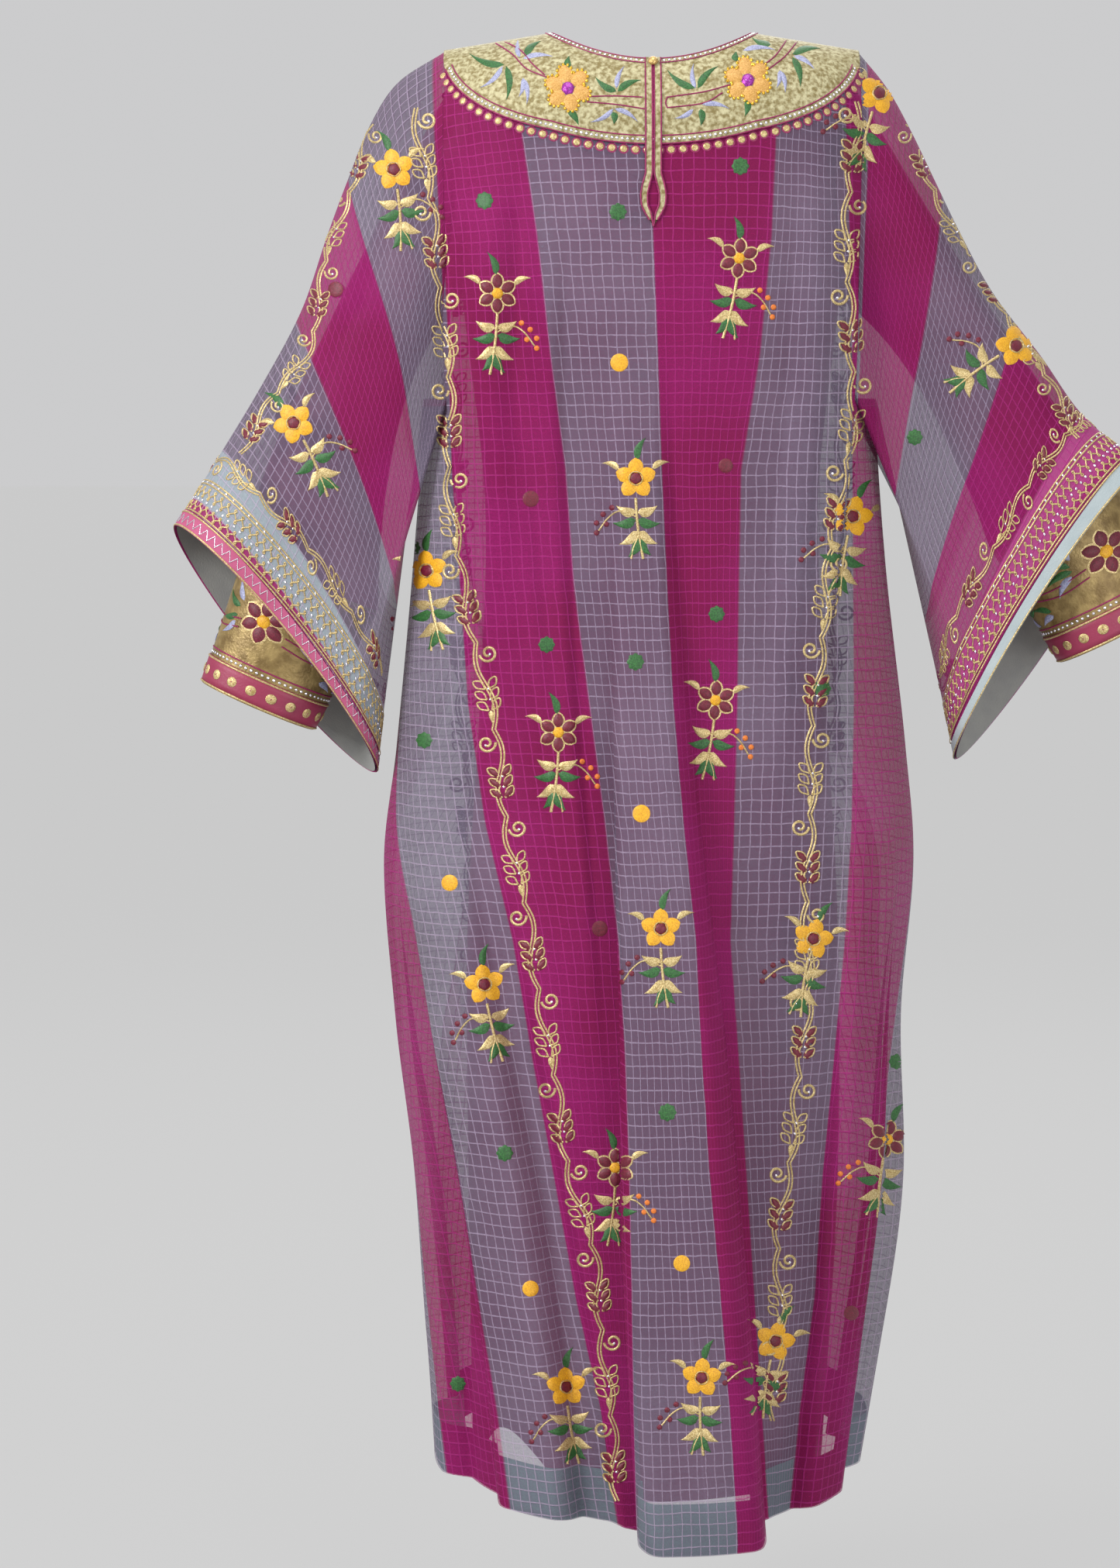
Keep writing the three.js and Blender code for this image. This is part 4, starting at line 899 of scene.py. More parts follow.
for arm_name, arm in ARMS.items():
    shares = round_arm(60)
    along = np.linspace(0, 1, 60)[:, None, None]
    start = narrow_armhole(arm["side"], shares)
    elbow = arm_ring(arm["side"], arm["elbow"], ELBOW_ACROSS, NARROW_HALF, shares)
    end = cuff_points(arm, shares, CUFF_LENGTH)
    points = start * (1 - along) * (1 - 2 * along) + elbow * 4 * along * (1 - along)
    points = points + end * along * (2 * along - 1)
    uv = np.stack([shares * 330, along[..., 0] * 500 + shares * 0], -1)
    flipped = arm["side"] > 0
    narrow = cloth(
        f"lining_sleeve_{arm_name}", points, uv, lining, f"under_sleeve_{arm_name}", flipped
    )
    cuff_shares = round_arm(12)
    above = np.linspace(CUFF_LENGTH, 0, 12)[:, None]
    points = cuff_points(arm, cuff_shares, above)
    uv = np.stack([cuff_shares * 300, above + cuff_shares * 0], -1)
    cuff = cloth(
        f"gold_cuff_{arm_name}", points, uv, cuff_finish, f"cuff_{arm_name}", flipped
    )

# Cuff bands
# A magenta band is sewn round the end of each gold cuff, flat on its outside. It is a little thicker
# than the cuff's own cloth.
BAND_LIFT = 1.35
BAND_THICK = 0.9
for arm_name, arm in ARMS.items():
    band_shares = round_arm(5)
    above = np.linspace(CUFF_BAND, 1, 5)[:, None]
    points = cuff_points(arm, band_shares, above, BAND_LIFT)
    uv = np.stack([band_shares * 300, above + band_shares * 0], -1)
    band = cloth(
        f"magenta_band_{arm_name}",
        points,
        uv,
        band_finish,
        f"cuff_band_{arm_name}",
        arm["side"] > 0,
        BAND_THICK,
    )

# Sleeve edges
# A narrow strip binds the mouth of each sleeve, sewn flat on its outside. It is pink on the left
# sleeve and pale grey on the right.
EDGE_LIFT = 1.15
EDGE_TONES = {
    "left": ((0.33, 0.05, 0.12), (0.45, 0.09, 0.2)),
    "right": ((0.3, 0.36, 0.38), (0.42, 0.47, 0.48)),
}
for arm_name, tones in EDGE_TONES.items():
    edging = Finish(f"edging_cloth_{arm_name}", roughness=0.7)
    edging.set("Base Color", edging.noise(60.0).blend(*tones))
    edging.bump(edging.noise(600.0), 0.0005)
    strip = sleeve_piece(
        f"edging_{arm_name}",
        arm_name,
        1 - SLEEVE_EDGE,
        1,
        EDGE_LIFT,
        edging,
        f"sleeve_edge_{arm_name}",
        5,
    )

# Yoke
# A flat rounded yoke of gold cloth lies over the shoulders, in two halves behind and one in front. It
# is closely covered with gold stitching.
YOKE_HALF = 189
YOKE_BACK_DEPTH = 104
YOKE_FRONT_DEPTH = 166
YOKE_LIFT = 1.65
YOKE_GAP = 1.2
YOKE_THICK = 1.2
YOKE_ROWS = 26
gold_ground = Finish("gold_ground", roughness=0.62, metallic=0.2)
gold_ground.shader.inputs["Specular IOR Level"].default_value = 0.25
gold_tone = gold_ground.noise(260.0, 3.0).step(0.3, 0.72).blend((0.2, 0.155, 0.06), (0.5, 0.46, 0.28))
gold_ground.set("Base Color", gold_tone)
gold_ground.bump(gold_ground.noise(520.0, 2.0), 0.0012)


def yoke_edge(x, depth):
    return np.maximum(4, depth * np.sqrt(np.clip(1 - (np.abs(x) / YOKE_HALF) ** 2, 0, 1)))


def neck_edge(x, depth):
    return depth * (1 - np.clip(np.abs(x) / NECK_HALF, 0, 1) ** 2)


def yoke_piece(name, first, last, neck_depth, edge_depth, node):
    around = np.linspace(first, last, 90)[None, :]
    x = robe.point(around, 0)[..., 0]
    depth = mix(neck_edge(x, neck_depth), yoke_edge(x, edge_depth), np.linspace(0, 1, YOKE_ROWS)[:, None])
    around = around + np.zeros((YOKE_ROWS, 1))
    points = robe.point(around, depth)
    points = points + grid_normals(points) * YOKE_LIFT
    uv = np.stack([np.broadcast_to(x, depth.shape), -depth], -1)
    piece = cloth(name, points, uv, gold_ground, node, thick=YOKE_THICK)


gap_share = YOKE_GAP / float(robe.read(robe.length, np.array(1.0), np.array(0.0)) / 2)
yoke_piece("gold_yoke_left", -1, -gap_share, NECK_BACK, YOKE_BACK_DEPTH, "yoke_back_left")
yoke_piece("gold_yoke_right", gap_share, 1, NECK_BACK, YOKE_BACK_DEPTH, "yoke_back_right")
yoke_piece("gold_yoke_front", 3, 5, NECK_FRONT, YOKE_FRONT_DEPTH, "yoke_front")

# Slit binding and button
# A flat gold ribbon runs down both sides of the slit and round the keyhole below it. One small gold
# button closes the slit at the nape.
BINDING_WIDTH = 6
BINDING_INSET = 0.9
BINDING_COLUMNS = 6
BINDING_LIFT = 1.35
TIP_FROM = 170
TIP_FALL = 5.4
BUTTON_TONE = (0.62, 0.42, 0.16, 1)
# Each stop on one side of the slit: its depth, and the inner and outer edges of the ribbon
BINDING_STOPS = tuple(
    (stop_depth, BINDING_INSET, BINDING_INSET + BINDING_WIDTH)
    for stop_depth in (NECK_BACK + 0.5, 40, 60, 80, 100, 116, KEYHOLE_TOP - 2)
)
BINDING_STOPS += (
    (138, 3, 9.4),
    (148, 5.4, 11.4),
    (158, 5, 10.6),
    (164.4, 2, 7.6),
    (171, 0.2, 3.6),
)


def robe_frame(around, depth):
    """Points on the robe and the outward direction there."""
    along = robe.point(around + 0.01, depth) - robe.point(around - 0.01, depth)
    down = robe.point(around, depth + 1) - robe.point(around, np.maximum(depth - 1, 0))
    normal = np.cross(down, along)
    size = np.maximum(np.linalg.norm(normal, axis=-1, keepdims=True), 1e-9)
    return robe.point(around, depth), normal / size


def to_robe(x, depth, lift):
    """Points on the back of the robe at sideways places and depths, with a lift."""
    places = np.linspace(-1, 1, 161)
    x, depth = np.broadcast_arrays(np.asarray(x, float), np.asarray(depth, float))
    around = np.empty(x.shape)
    for index in np.ndindex(x.shape):
        spread = robe.point(places, depth[index])[:, 0]
        around[index] = np.interp(x[index], np.maximum.accumulate(spread), places)
    points, normal = robe_frame(around, depth)
    return points + normal * lift


binding_columns = []
for sign in (-1, 1):
    for stop_depth, inner, outer in BINDING_STOPS[::-sign]:
        fall = TIP_FALL if stop_depth > TIP_FROM else 0
        stop_x = np.linspace(inner, outer, BINDING_COLUMNS) * sign
        stop_down = stop_depth + fall * np.linspace(1, 0, BINDING_COLUMNS)
        over = YOKE_LIFT if stop_depth < YOKE_BACK_DEPTH + 2 else 0
        binding_columns.append(to_robe(stop_x, stop_down, BINDING_LIFT + over))
binding_points = np.array(binding_columns)
binding_uv = np.zeros(binding_points.shape[:2] + (2,))
binding_uv[..., 0] = np.arange(BINDING_COLUMNS) * 1.2
binding_uv[..., 1] = np.arange(len(binding_columns))[:, None] * 10
binding = cloth("gold_binding", binding_points, binding_uv, gold_ground, "slit_binding")
button_gold = Finish("button_gold", roughness=0.32, metallic=0.85)
button_gold.shader.inputs["Base Color"].default_value = BUTTON_TONE
bpy.data.objects["neck_button"].material_slots[0].material = button_gold.material

# Body stitching
# All the embroidery is satin stitch and couched cord, drawn flat in millimetres and then laid on the
# cloth. Each thread is one piece, lightly padded. Sprigs, spots and seam vines cover the back.
STITCH_EDGE = 0.15
STEEPEST = 0.12
# Each thread: its dark and light tones, its roughness and how metallic it is
THREADS = {
    "gold": ((0.33, 0.22, 0.07), (0.66, 0.53, 0.27), 0.42, 0.45),
    "yellow": ((0.55, 0.24, 0.004), (0.78, 0.42, 0.012), 0.5, 0.0),
    "maroon": ((0.08, 0.002, 0.01), (0.17, 0.005, 0.028), 0.5, 0.0),
    "green": ((0.008, 0.05, 0.01), (0.03, 0.15, 0.03), 0.5, 0.0),
    "magenta": ((0.16, 0.004, 0.05), (0.3, 0.012, 0.1), 0.55, 0.0),
    "lilac": ((0.2, 0.21, 0.34), (0.38, 0.39, 0.55), 0.5, 0.1),
    "amber": ((0.42, 0.2, 0.03), (0.62, 0.36, 0.1), 0.45, 0.1),
    "orange": ((0.5, 0.1, 0.01), (0.7, 0.2, 0.02), 0.5, 0.0),
    "violet": ((0.2, 0.01, 0.2), (0.4, 0.05, 0.42), 0.15, 0.4),
    "silver": ((0.6, 0.6, 0.66), (0.95, 0.93, 1.0), 0.12, 0.75),
    "topaz": ((0.5, 0.25, 0.01), (0.9, 0.6, 0.08), 0.15, 0.7),
}


def longest_side(corners):
    """The longest side of each of many faces."""
    return np.linalg.norm(corners - np.roll(corners, 1, axis=1), axis=-1).max(axis=1)


class Needlework:
    """Flat shapes that are laid on the cloth and gathered by the thread that they are sewn in."""

    def __init__(self):
        self.points = {name: [] for name in THREADS}
        self.faces = {name: [] for name in THREADS}
        self.count = dict.fromkeys(THREADS, 0)

    def lay(self, shapes, surface, turn=0.0, size=1.0, move=(0.0, 0.0), mirror=False):
        """Lay a design's shapes on a surface, turned, sized, mirrored and moved in its flat drawing."""
        c, s = math.cos(turn) * size, math.sin(turn) * size
        drawn = np.concatenate([shape[1] for shape in shapes])
        x = -drawn[:, 0] if mirror else drawn[:, 0]
        drawn = np.stack([c * x - s * drawn[:, 1] + move[0], s * x + c * drawn[:, 1] + move[1]], -1)
        laid, good = surface(drawn, np.concatenate([shape[2] for shape in shapes]))
        first = 0
        for thread, flat, _, faces in shapes:
            part = slice(first, first + len(flat))
            first += len(flat)
            faces = faces[good[part][faces].all(axis=1)]
            if not len(faces):
                continue
            faces = faces[longest_side(laid[part][faces]) < 3.5 * longest_side(drawn[part][faces]) + 2.5]
            self.points[thread].append(laid[part])
            self.faces[thread].append(faces + self.count[thread])
            self.count[thread] += len(flat)

    def finish(self, prefix):
        """Make a piece of each thread that was used."""
        for thread, faces in self.faces.items():
            if not faces:
                continue
            used = np.concatenate(faces)
            points = np.concatenate(self.points[thread])
            kept, places = np.unique(used, return_inverse=True)
            mesh = bpy.data.meshes.new(f"{prefix}_{thread}")
            quads = places.reshape(used.shape)
            mesh.from_pydata((points[kept] * MM).tolist(), [], quads.tolist())
            mesh.polygons.foreach_set("use_smooth", [True] * len(quads))
            mesh.validate()
            mesh.materials.append(thread_finishes[thread].material)
            piece = bpy.data.objects.new(f"{prefix}_{thread}", mesh)
            bpy.context.collection.objects.link(piece)
            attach(piece, "root")


thread_finishes = {}
for thread, (dark, light, roughness, metallic) in THREADS.items():
    made = Finish(f"thread_{thread}", roughness=roughness, metallic=metallic)
    made.set("Base Color", made.noise(900.0, 2.0).step(0.3, 0.7).blend(dark, light))
    made.bump(made.noise(1400.0, 1.0), 0.0004)
    thread_finishes[thread] = made


def strips(rows, columns):
    """The faces of a grid of points."""
    index = np.arange(rows * columns).reshape(rows, columns)
    return np.stack([index[:-1, :-1], index[1:, :-1], index[1:, 1:], index[:-1, 1:]], -1).reshape(-1, 4)


def rotated(points, angle):
    """Flat points turned about the drawing's origin."""
    c, s = math.cos(angle), math.sin(angle)
    return np.stack([c * points[:, 0] - s * points[:, 1], s * points[:, 0] + c * points[:, 1]], -1)


def ring(radius, count=25):
    turn = np.linspace(0, 2 * math.pi, count)
    return np.stack([radius * np.cos(turn), radius * np.sin(turn)], -1)


def patch(thread, length, width, rise=0.9, root=0.0, turn=0.0, at=(0.0, 0.0), bow=0.0, blunt=0.6, full=1.0):
    """A padded petal or leaf that runs out from its root, as wide as is given at its middle."""
    s = np.linspace(0, 1, 8)[:, None]
    t = np.linspace(-1, 1, 5)[None, :]
    half = width / 2 * np.maximum(np.sin(math.pi * s**blunt), 0.02) ** full
    x = root + s * length + 0 * t
    y = half * t + bow * length * s * (1 - s) * 4
    flat = rotated(np.stack([x, y], -1).reshape(-1, 2), turn) + np.array(at)
    height = rise * (1 - t**2) * np.sin(math.pi * np.clip(s, 0.03, 0.97)) ** 0.5 + STITCH_EDGE
    return thread, flat, height.reshape(-1), strips(8, 5)


def disc(thread, radius, rise=0.8, at=(0.0, 0.0), lobes=0, sides=20):
    """A padded round spot, with a wavy edge where lobes are given."""
    turn = np.linspace(0, 2 * math.pi, sides, endpoint=False)
    rings = []
    heights = []
    for share, height in ((0.02, 1.0), (0.55, 0.85), (0.85, 0.55), (1.0, 0.0)):
        wavy = share * radius * (1 + (0.09 * np.cos(lobes * turn) if lobes else 0) * share)
        rings.append(np.stack([at[0] + wavy * np.cos(turn), at[1] + wavy * np.sin(turn)], -1))
        heights.append(np.full(sides, height * rise + STITCH_EDGE))
    index = np.arange(4 * sides).reshape(4, sides)
    after = np.roll(index, -1, axis=1)
    faces = np.stack([index[:-1], index[1:], after[1:], after[:-1]], -1).reshape(-1, 4)
    return thread, np.concatenate(rings), np.concatenate(heights), faces


def cord(thread, path, width, rise=0.7):
    """A couched cord along a flat path, with a width that may vary along it."""
    path = np.asarray(path, float)
    tangent = np.gradient(path, axis=0)
    tangent /= np.maximum(np.linalg.norm(tangent, axis=1, keepdims=True), 1e-9)
    side = np.stack([-tangent[:, 1], tangent[:, 0]], -1)
    half = np.broadcast_to(np.asarray(width, float) / 2, (len(path),))[:, None]
    flat = np.stack([path + side * half * share for share in (-1, -0.5, 0, 0.5, 1)], 1).reshape(-1, 2)
    height = np.tile(np.array([0.0, 0.75, 1.0, 0.75, 0.0]) * rise + 0.12, len(path))
    return thread, flat, height, strips(len(path), 5)


def bend(points, count=14):
    """A smooth flat path through a few points."""
    points = np.asarray(points, float)
    places = np.linspace(0, len(points) - 1, count)
    padded = np.concatenate([[2 * points[0] - points[1]], points, [2 * points[-1] - points[-2]]])
    k = np.minimum(places.astype(int), len(points) - 2)
    t = (places - k)[:, None]
    a, b, c, d = (padded[k + offset] for offset in range(4))
    square = (2 * a - 5 * b + 4 * c - d) * t**2
    return 0.5 * (2 * b + (c - a) * t + square + (3 * b - a - 3 * c + d) * t**3)


def curl(at, radius, turns, start, hand=1, count=26):
    """A path that winds into a spiral."""
    s = np.linspace(0, 1, count)
    turn = start + hand * s * turns * 2 * math.pi
    r = radius * (1 - 0.78 * s)
    return np.stack([at[0] + r * np.cos(turn), at[1] + r * np.sin(turn)], -1)


def turned(degrees):
    return degrees * math.pi / 180


def repeated(drawing, places):
    """The shapes of a small drawing, laid out again at each place."""
    return [(shape[0], shape[1] + np.array(place), *shape[2:]) for place in places for shape in drawing]


def yellow_flower():
    shapes = []
    for k in range(5):
        angle = turned(90 + 72 * k)
        shapes.append(patch("yellow", 15, 14, 1.2, 3.8, angle, blunt=0.9, full=0.55))
    shapes.append(disc("maroon", 5.6, 1.9))
    shapes.append(cord("gold", ring(6.2), 1.4, 1.6))
    return shapes


def maroon_flower():
    shapes = []
    for k in range(6):
        angle = turned(90 + 60 * k)
        shapes.append(patch("gold", 15.6, 12.4, 0.4, 3.2, angle, blunt=0.95, full=0.5))
        shapes.append(patch("maroon", 13.2, 10, 1.7, 4.4, angle, blunt=0.95, full=0.5))
    shapes.append(disc("yellow", 5.2, 1.9))
    return shapes


def sprig(kind):
    """A stem of flowers about ten centimetres tall, with its main flower at the drawing's origin."""
    shapes = yellow_flower() if kind == "yellow" else maroon_flower()
    shapes.append(patch("green", 22, 7, 0.9, 0, turned(112), (-1, 17), -0.12))
    shapes.append(patch("gold", 17, 6, 0.9, 0, turned(20), (15, 8), 0.15))
    shapes.append(patch("gold", 17, 6, 0.9, 0, turned(160), (-15, 9), -0.15))
    shapes.append(cord("gold", bend([(0, -18), (-1, -34), (-3, -52), (-7, -74)]), 2.6, 1.0))
    shapes.append(cord("gold", bend([(-3, -52), (2, -64), (4, -74)]), 2.0, 0.9))
    for at, angle, colour, length in (
        ((-1, -32), 20, "gold", 19),
        ((-1, -32), 160, "gold", 19),
        ((-1, -38), -8, "green", 21),
        ((-1, -38), 188, "green", 21),
        ((-3, -48), -35, "gold", 21),
        ((-3, -48), 215, "gold", 20),
        ((-3, -54), -62, "green", 20),
        ((-3, -54), 236, "green", 19),
    ):
        shapes.append(patch(colour, length, 9.2, 1.0, 1, turned(angle), at, 0.12 if angle > 90 else -0.12))
    berry = "maroon" if kind == "yellow" else "orange"
    branch = bend([(-2, -36), (14, -30), (25, -36), (34, -48)])
    shapes.append(cord("gold", branch, 1.5, 0.7))
    for x, y in ((22, -27), (30, -33), (27, -42), (36, -41), (36, -50)):
        shapes.append(disc(berry, 2.6, 1.0, (x, y), sides=10))
    return shapes


VINE_PITCH = 82
WAVE_RISE = 5
CURL_PLACE = 12
CURL_RADIUS = 8.5
CURL_TURNS = 1.35
LEAF_SPOTS = (44, 54, 64)
LEAF_REACH = 13
LEAF_LOOP = ((0, 0), (0.55, 0.27), (1, 0.05), (0.55, -0.27), (0, 0))


def vine(path, hand=1, filled_first=False, size=1.0):
    """A vine along a flat path: a cord that waves, with a curl and a spray of leaves in each length."""
    path = bend(path, 400)
    steps = np.linalg.norm(np.diff(path, axis=0), axis=1)
    length = np.concatenate([[0], np.cumsum(steps)])
    tangent = np.gradient(path, axis=0)
    tangent /= np.linalg.norm(tangent, axis=1, keepdims=True)

    def along(flat):
        place = flat[:, 0]
        base = np.stack([np.interp(place, length, path[:, k]) for k in (0, 1)], -1)
        ahead = np.stack([np.interp(place, length, tangent[:, k]) for k in (0, 1)], -1)
        ahead /= np.linalg.norm(ahead, axis=1, keepdims=True)
        return base + np.stack([-ahead[:, 1], ahead[:, 0]], -1) * flat[:, 1:2]

    pitch = VINE_PITCH * size
    shapes = []
    for k in range(int(length[-1] // pitch)):
        start = k * pitch
        side = hand * (1 if k % 2 else -1)
        colour = "maroon" if (k % 2 == 0) == filled_first else "gold"
        s = np.linspace(0, pitch, 24)
        wave = side * WAVE_RISE * size * np.sin(s / pitch * 2 * math.pi)
        for half_gap in (1.5, -1.5):
            shapes.append(cord("gold", along(np.stack([start + s, wave + half_gap * size], -1)), 1.7 * size))
        middle = (start + CURL_PLACE * size, -side * CURL_RADIUS * size)
        spin = curl(middle, CURL_RADIUS * size, CURL_TURNS, turned(90 * side), -side)
        shapes.append(cord("gold", along(spin), 2.4 * size))
        shapes.append(disc("silver", 1.3 * size, 0.9, tuple(along(spin[-1:])[0]), sides=8))
        for spot in LEAF_SPOTS:
            for wing in (-1, 1):
                at = along(np.array([[start + spot * size, wing * 1.5 * size]]))[0]
                tip = along(np.array([[start + (spot - 9) * size, wing * 10.5 * size]]))[0]
                angle = math.atan2(tip[1] - at[1], tip[0] - at[0])
                reach = LEAF_REACH * size
                loop = rotated(bend(LEAF_LOOP, 16) * reach, angle) + at
                shapes.append(cord("gold", loop, 1.6 * size))
                if colour == "maroon":
                    shapes.append(patch("maroon", 0.95 * reach, 7 * size, 1.3, 0, angle, at))
            if spot < LEAF_SPOTS[-1]:
                shapes.append(disc("silver", 1.2 * size, 0.9, at, sides=8))
        if colour == "gold":
            thread, flat, rise, faces = patch("gold", LEAF_REACH * size, 5 * size)
            shapes.append((thread, along(flat + np.array([start + LEAF_SPOTS[-1] * size, 0])), rise, faces))
    return shapes


CLOTH_NAMES = ("robe_back", "robe_gore_left", "robe_gore_right", "robe_front")
CLOTH_NAMES += ("sleeve_left_cloth", "sleeve_right_cloth", "gold_yoke_left", "gold_yoke_right")
CLOTH_NAMES += ("gold_yoke_front", "gold_cuff_left", "gold_cuff_right")
cloth_points = []
cloth_faces = []
for name in CLOTH_NAMES:
    mesh = bpy.data.objects[name].data
    cloth_faces += [tuple(v + len(cloth_points) for v in polygon.vertices) for polygon in mesh.polygons]
    cloth_points += [vertex.co.copy() for vertex in mesh.vertices]
cloth_tree = BVHTree.FromPolygons(cloth_points, cloth_faces)


def seen_surface(starts, targets, rise):
    """Lay points where lines of sight first meet the cloth."""
    points = np.zeros((len(targets), 3))
    good = np.zeros(len(targets), bool)
    for k, (start, target) in enumerate(zip(starts, targets)):
        direction = (Vector(target) - Vector(start)).normalized()
        place, normal, _, _ = cloth_tree.ray_cast(Vector(start), direction)
        if place is None:
            continue
        if normal.dot(direction) > 0:
            normal = -normal
        points[k] = np.array(place) / MM + np.array(normal) * rise[k]
        good[k] = normal.dot(direction) <= -STEEPEST
    return points, good


FRONT_DISTANCE = 3


def from_behind(flat, rise):
    """Lay a drawing on the back as the camera sees it, with its plane at the shoulders' depth."""
    targets = np.stack([flat[:, 0], flat[:, 0] * 0, flat[:, 1]], -1) * MM
    starts = np.broadcast_to(np.array(CAMERA_PLACE), targets.shape)
    return seen_surface(starts, targets, rise)


def from_front(flat, rise):
    """Lay a drawing square on the front, which its left and right are mirrored for."""
    starts = np.stack([-flat[:, 0] * MM, flat[:, 0] * 0 + FRONT_DISTANCE, flat[:, 1] * MM], -1)
    return seen_surface(starts, starts - np.array([0, 1, 0]), rise)


SEEN_SCALE = 1.0115
MIDDLE_COLUMN = 838
SHOULDER_ROW = 40
MM_PER_PIXEL = 0.717


def plane_place(column, row):
    """The place in the drawing plane of a spot that is seen at a column and row."""
    right = column * SEEN_SCALE - MIDDLE_COLUMN
    up = SHOULDER_ROW - row * SEEN_SCALE
    return right * MM_PER_PIXEL, up * MM_PER_PIXEL


needlework = Needlework()
yellow_sprig = sprig("yellow")
maroon_sprig = sprig("maroon")
# Sprigs on the back: where each is seen, which way it faces and how it leans
for column, row, design, mirror, lean in (
    (635, 362, maroon_sprig, False, 0),
    (940, 318, maroon_sprig, False, -6),
    (712, 918, maroon_sprig, False, 0),
    (912, 877, maroon_sprig, False, -4),
    (1135, 1443, maroon_sprig, True, -12),
    (785, 1480, maroon_sprig, False, 0),
    (810, 595, yellow_sprig, True, 0),
    (1085, 643, yellow_sprig, True, -14),
    (843, 1170, yellow_sprig, True, 0),
    (1038, 1183, yellow_sprig, True, -14),
    (617, 1242, yellow_sprig, True, 8),
    (722, 1767, yellow_sprig, True, 4),
    (897, 1755, yellow_sprig, True, -4),
    (992, 1707, yellow_sprig, True, -14),
    (545, 712, yellow_sprig, True, 6),
    (377, 525, yellow_sprig, False, 30),
    (1290, 428, yellow_sprig, True, -60),
    (1115, 112, yellow_sprig, True, -20),
    (505, 207, yellow_sprig, False, 10),
):
    needlework.lay(design, from_behind, turned(lean), 1.0, plane_place(column, row), mirror)

# Spots on the back: where each is seen, its thread and its radius
for column, row, thread, radius in (
    (619, 246, "green", 7.6),
    (941, 203, "green", 7.6),
    (787, 260, "green", 7.6),
    (810, 828, "green", 7.6),
    (697, 806, "green", 7.2),
    (913, 767, "green", 7.2),
    (541, 928, "green", 7.2),
    (1163, 543, "green", 7),
    (1048, 862, "green", 7.6),
    (527, 683, "green", 7),
    (643, 1461, "green", 7.4),
    (852, 1408, "green", 8),
    (1146, 1342, "green", 7),
    (582, 1763, "green", 7),
    (789, 449, "yellow", 8.2),
    (818, 1022, "yellow", 8.2),
    (573, 1111, "yellow", 7.6),
    (676, 1638, "yellow", 7.6),
    (871, 1605, "yellow", 7.8),
    (677, 621, "maroon", 7.4),
    (924, 579, "maroon", 6.6),
    (431, 357, "maroon", 7),
    (765, 1170, "maroon", 7.4),
    (1090, 1670, "maroon", 7),
):
    spot = [disc(thread, radius, 0.9, lobes=8 if thread == "green" else 0, sides=32)]
    needlework.lay(spot, from_behind, 0.0, 1.0, plane_place(column, row))

# Vines over the two seams of the back
LEFT_VINE = ((-214, -66), (-197, -190), (-186, -300), (-180, -460), (-150, -600), (-130, -730))
LEFT_VINE += ((-110, -830), (-77, -1030), (-50, -1140), (-36, -1280), (-26, -1400))
RIGHT_VINE = ((187, -60), (184, -120), (179, -210), (187, -330), (174, -420), (154, -590), (147, -750))
RIGHT_VINE += ((146, -890), (136, -1000), (122, -1100), (123, -1180), (112, -1350))
needlework.lay(vine(LEFT_VINE, 1, False), from_behind)
needlework.lay(vine(RIGHT_VINE, -1, True), from_behind)

# Vines along the tops of the sleeves
for sleeve_path, hand in (
    (((478, 150), (452, 225), (425, 300), (408, 380), (392, 440), (345, 505), (305, 570)), 1),
    (((1150, 150), (1180, 220), (1215, 290), (1262, 360), (1310, 440), (1350, 505), (1378, 560)), -1),
):
    drawn_path = [plane_place(*place) for place in sleeve_path]
    needlework.lay(vine(drawn_path, hand, True, 0.8), from_behind)
needlework.finish("stitch")

# Yoke stitching
# Magenta cords and sequins edge the gold yoke, with a scalloped row of small gold spots below it. On
# the gold lie jewelled flowers, tapering bands and sprays of green and lilac leaves.
needlework = Needlework()


class EdgeLine:
    """An edge that drawings follow, by distance along it and distance above it."""

    def __init__(self, points, normals, lift):
        self.points = points
        self.normals = normals
        self.lift = lift
        steps = np.linalg.norm(np.diff(points, axis=0), axis=1)
        self.length = np.concatenate([[0], np.cumsum(steps)])
        self.tangents = np.gradient(points, axis=0)
        self.tangents /= np.linalg.norm(self.tangents, axis=1, keepdims=True)

    def read(self, table, place):
        return np.stack([np.interp(place, self.length, table[:, k]) for k in range(3)], -1)

    def lay(self, flat, rise):
        normal = self.read(self.normals, flat[:, 0])
        above = np.cross(normal, self.read(self.tangents, flat[:, 0]))
        lift = self.lift(flat[:, 1]) + rise
        points = self.read(self.points, flat[:, 0]) + above * flat[:, 1:2] + normal * lift[:, None]
        return points, np.ones(len(flat), bool)

    def row(self, drawing, pitch, height, ends=3.0):
        """Lay a small drawing again and again along the edge."""
        count = int((self.length[-1] - 2 * ends) // pitch)
        places = np.linspace(ends, self.length[-1] - ends, count)
        needlework.lay(repeated(drawing, [(place, height) for place in places]), self.lay)

    def line(self, thread, height, width=1.3, ends=0.5):
        places = np.linspace(ends, self.length[-1] - ends, int(self.length[-1] / 3))
        path = np.stack([places, np.full(len(places), height)], -1)
        needlework.lay([cord(thread, path, width)], self.lay)


def yoke_lift(height):
    return np.where(height > -1, YOKE_LIFT, 0.0)


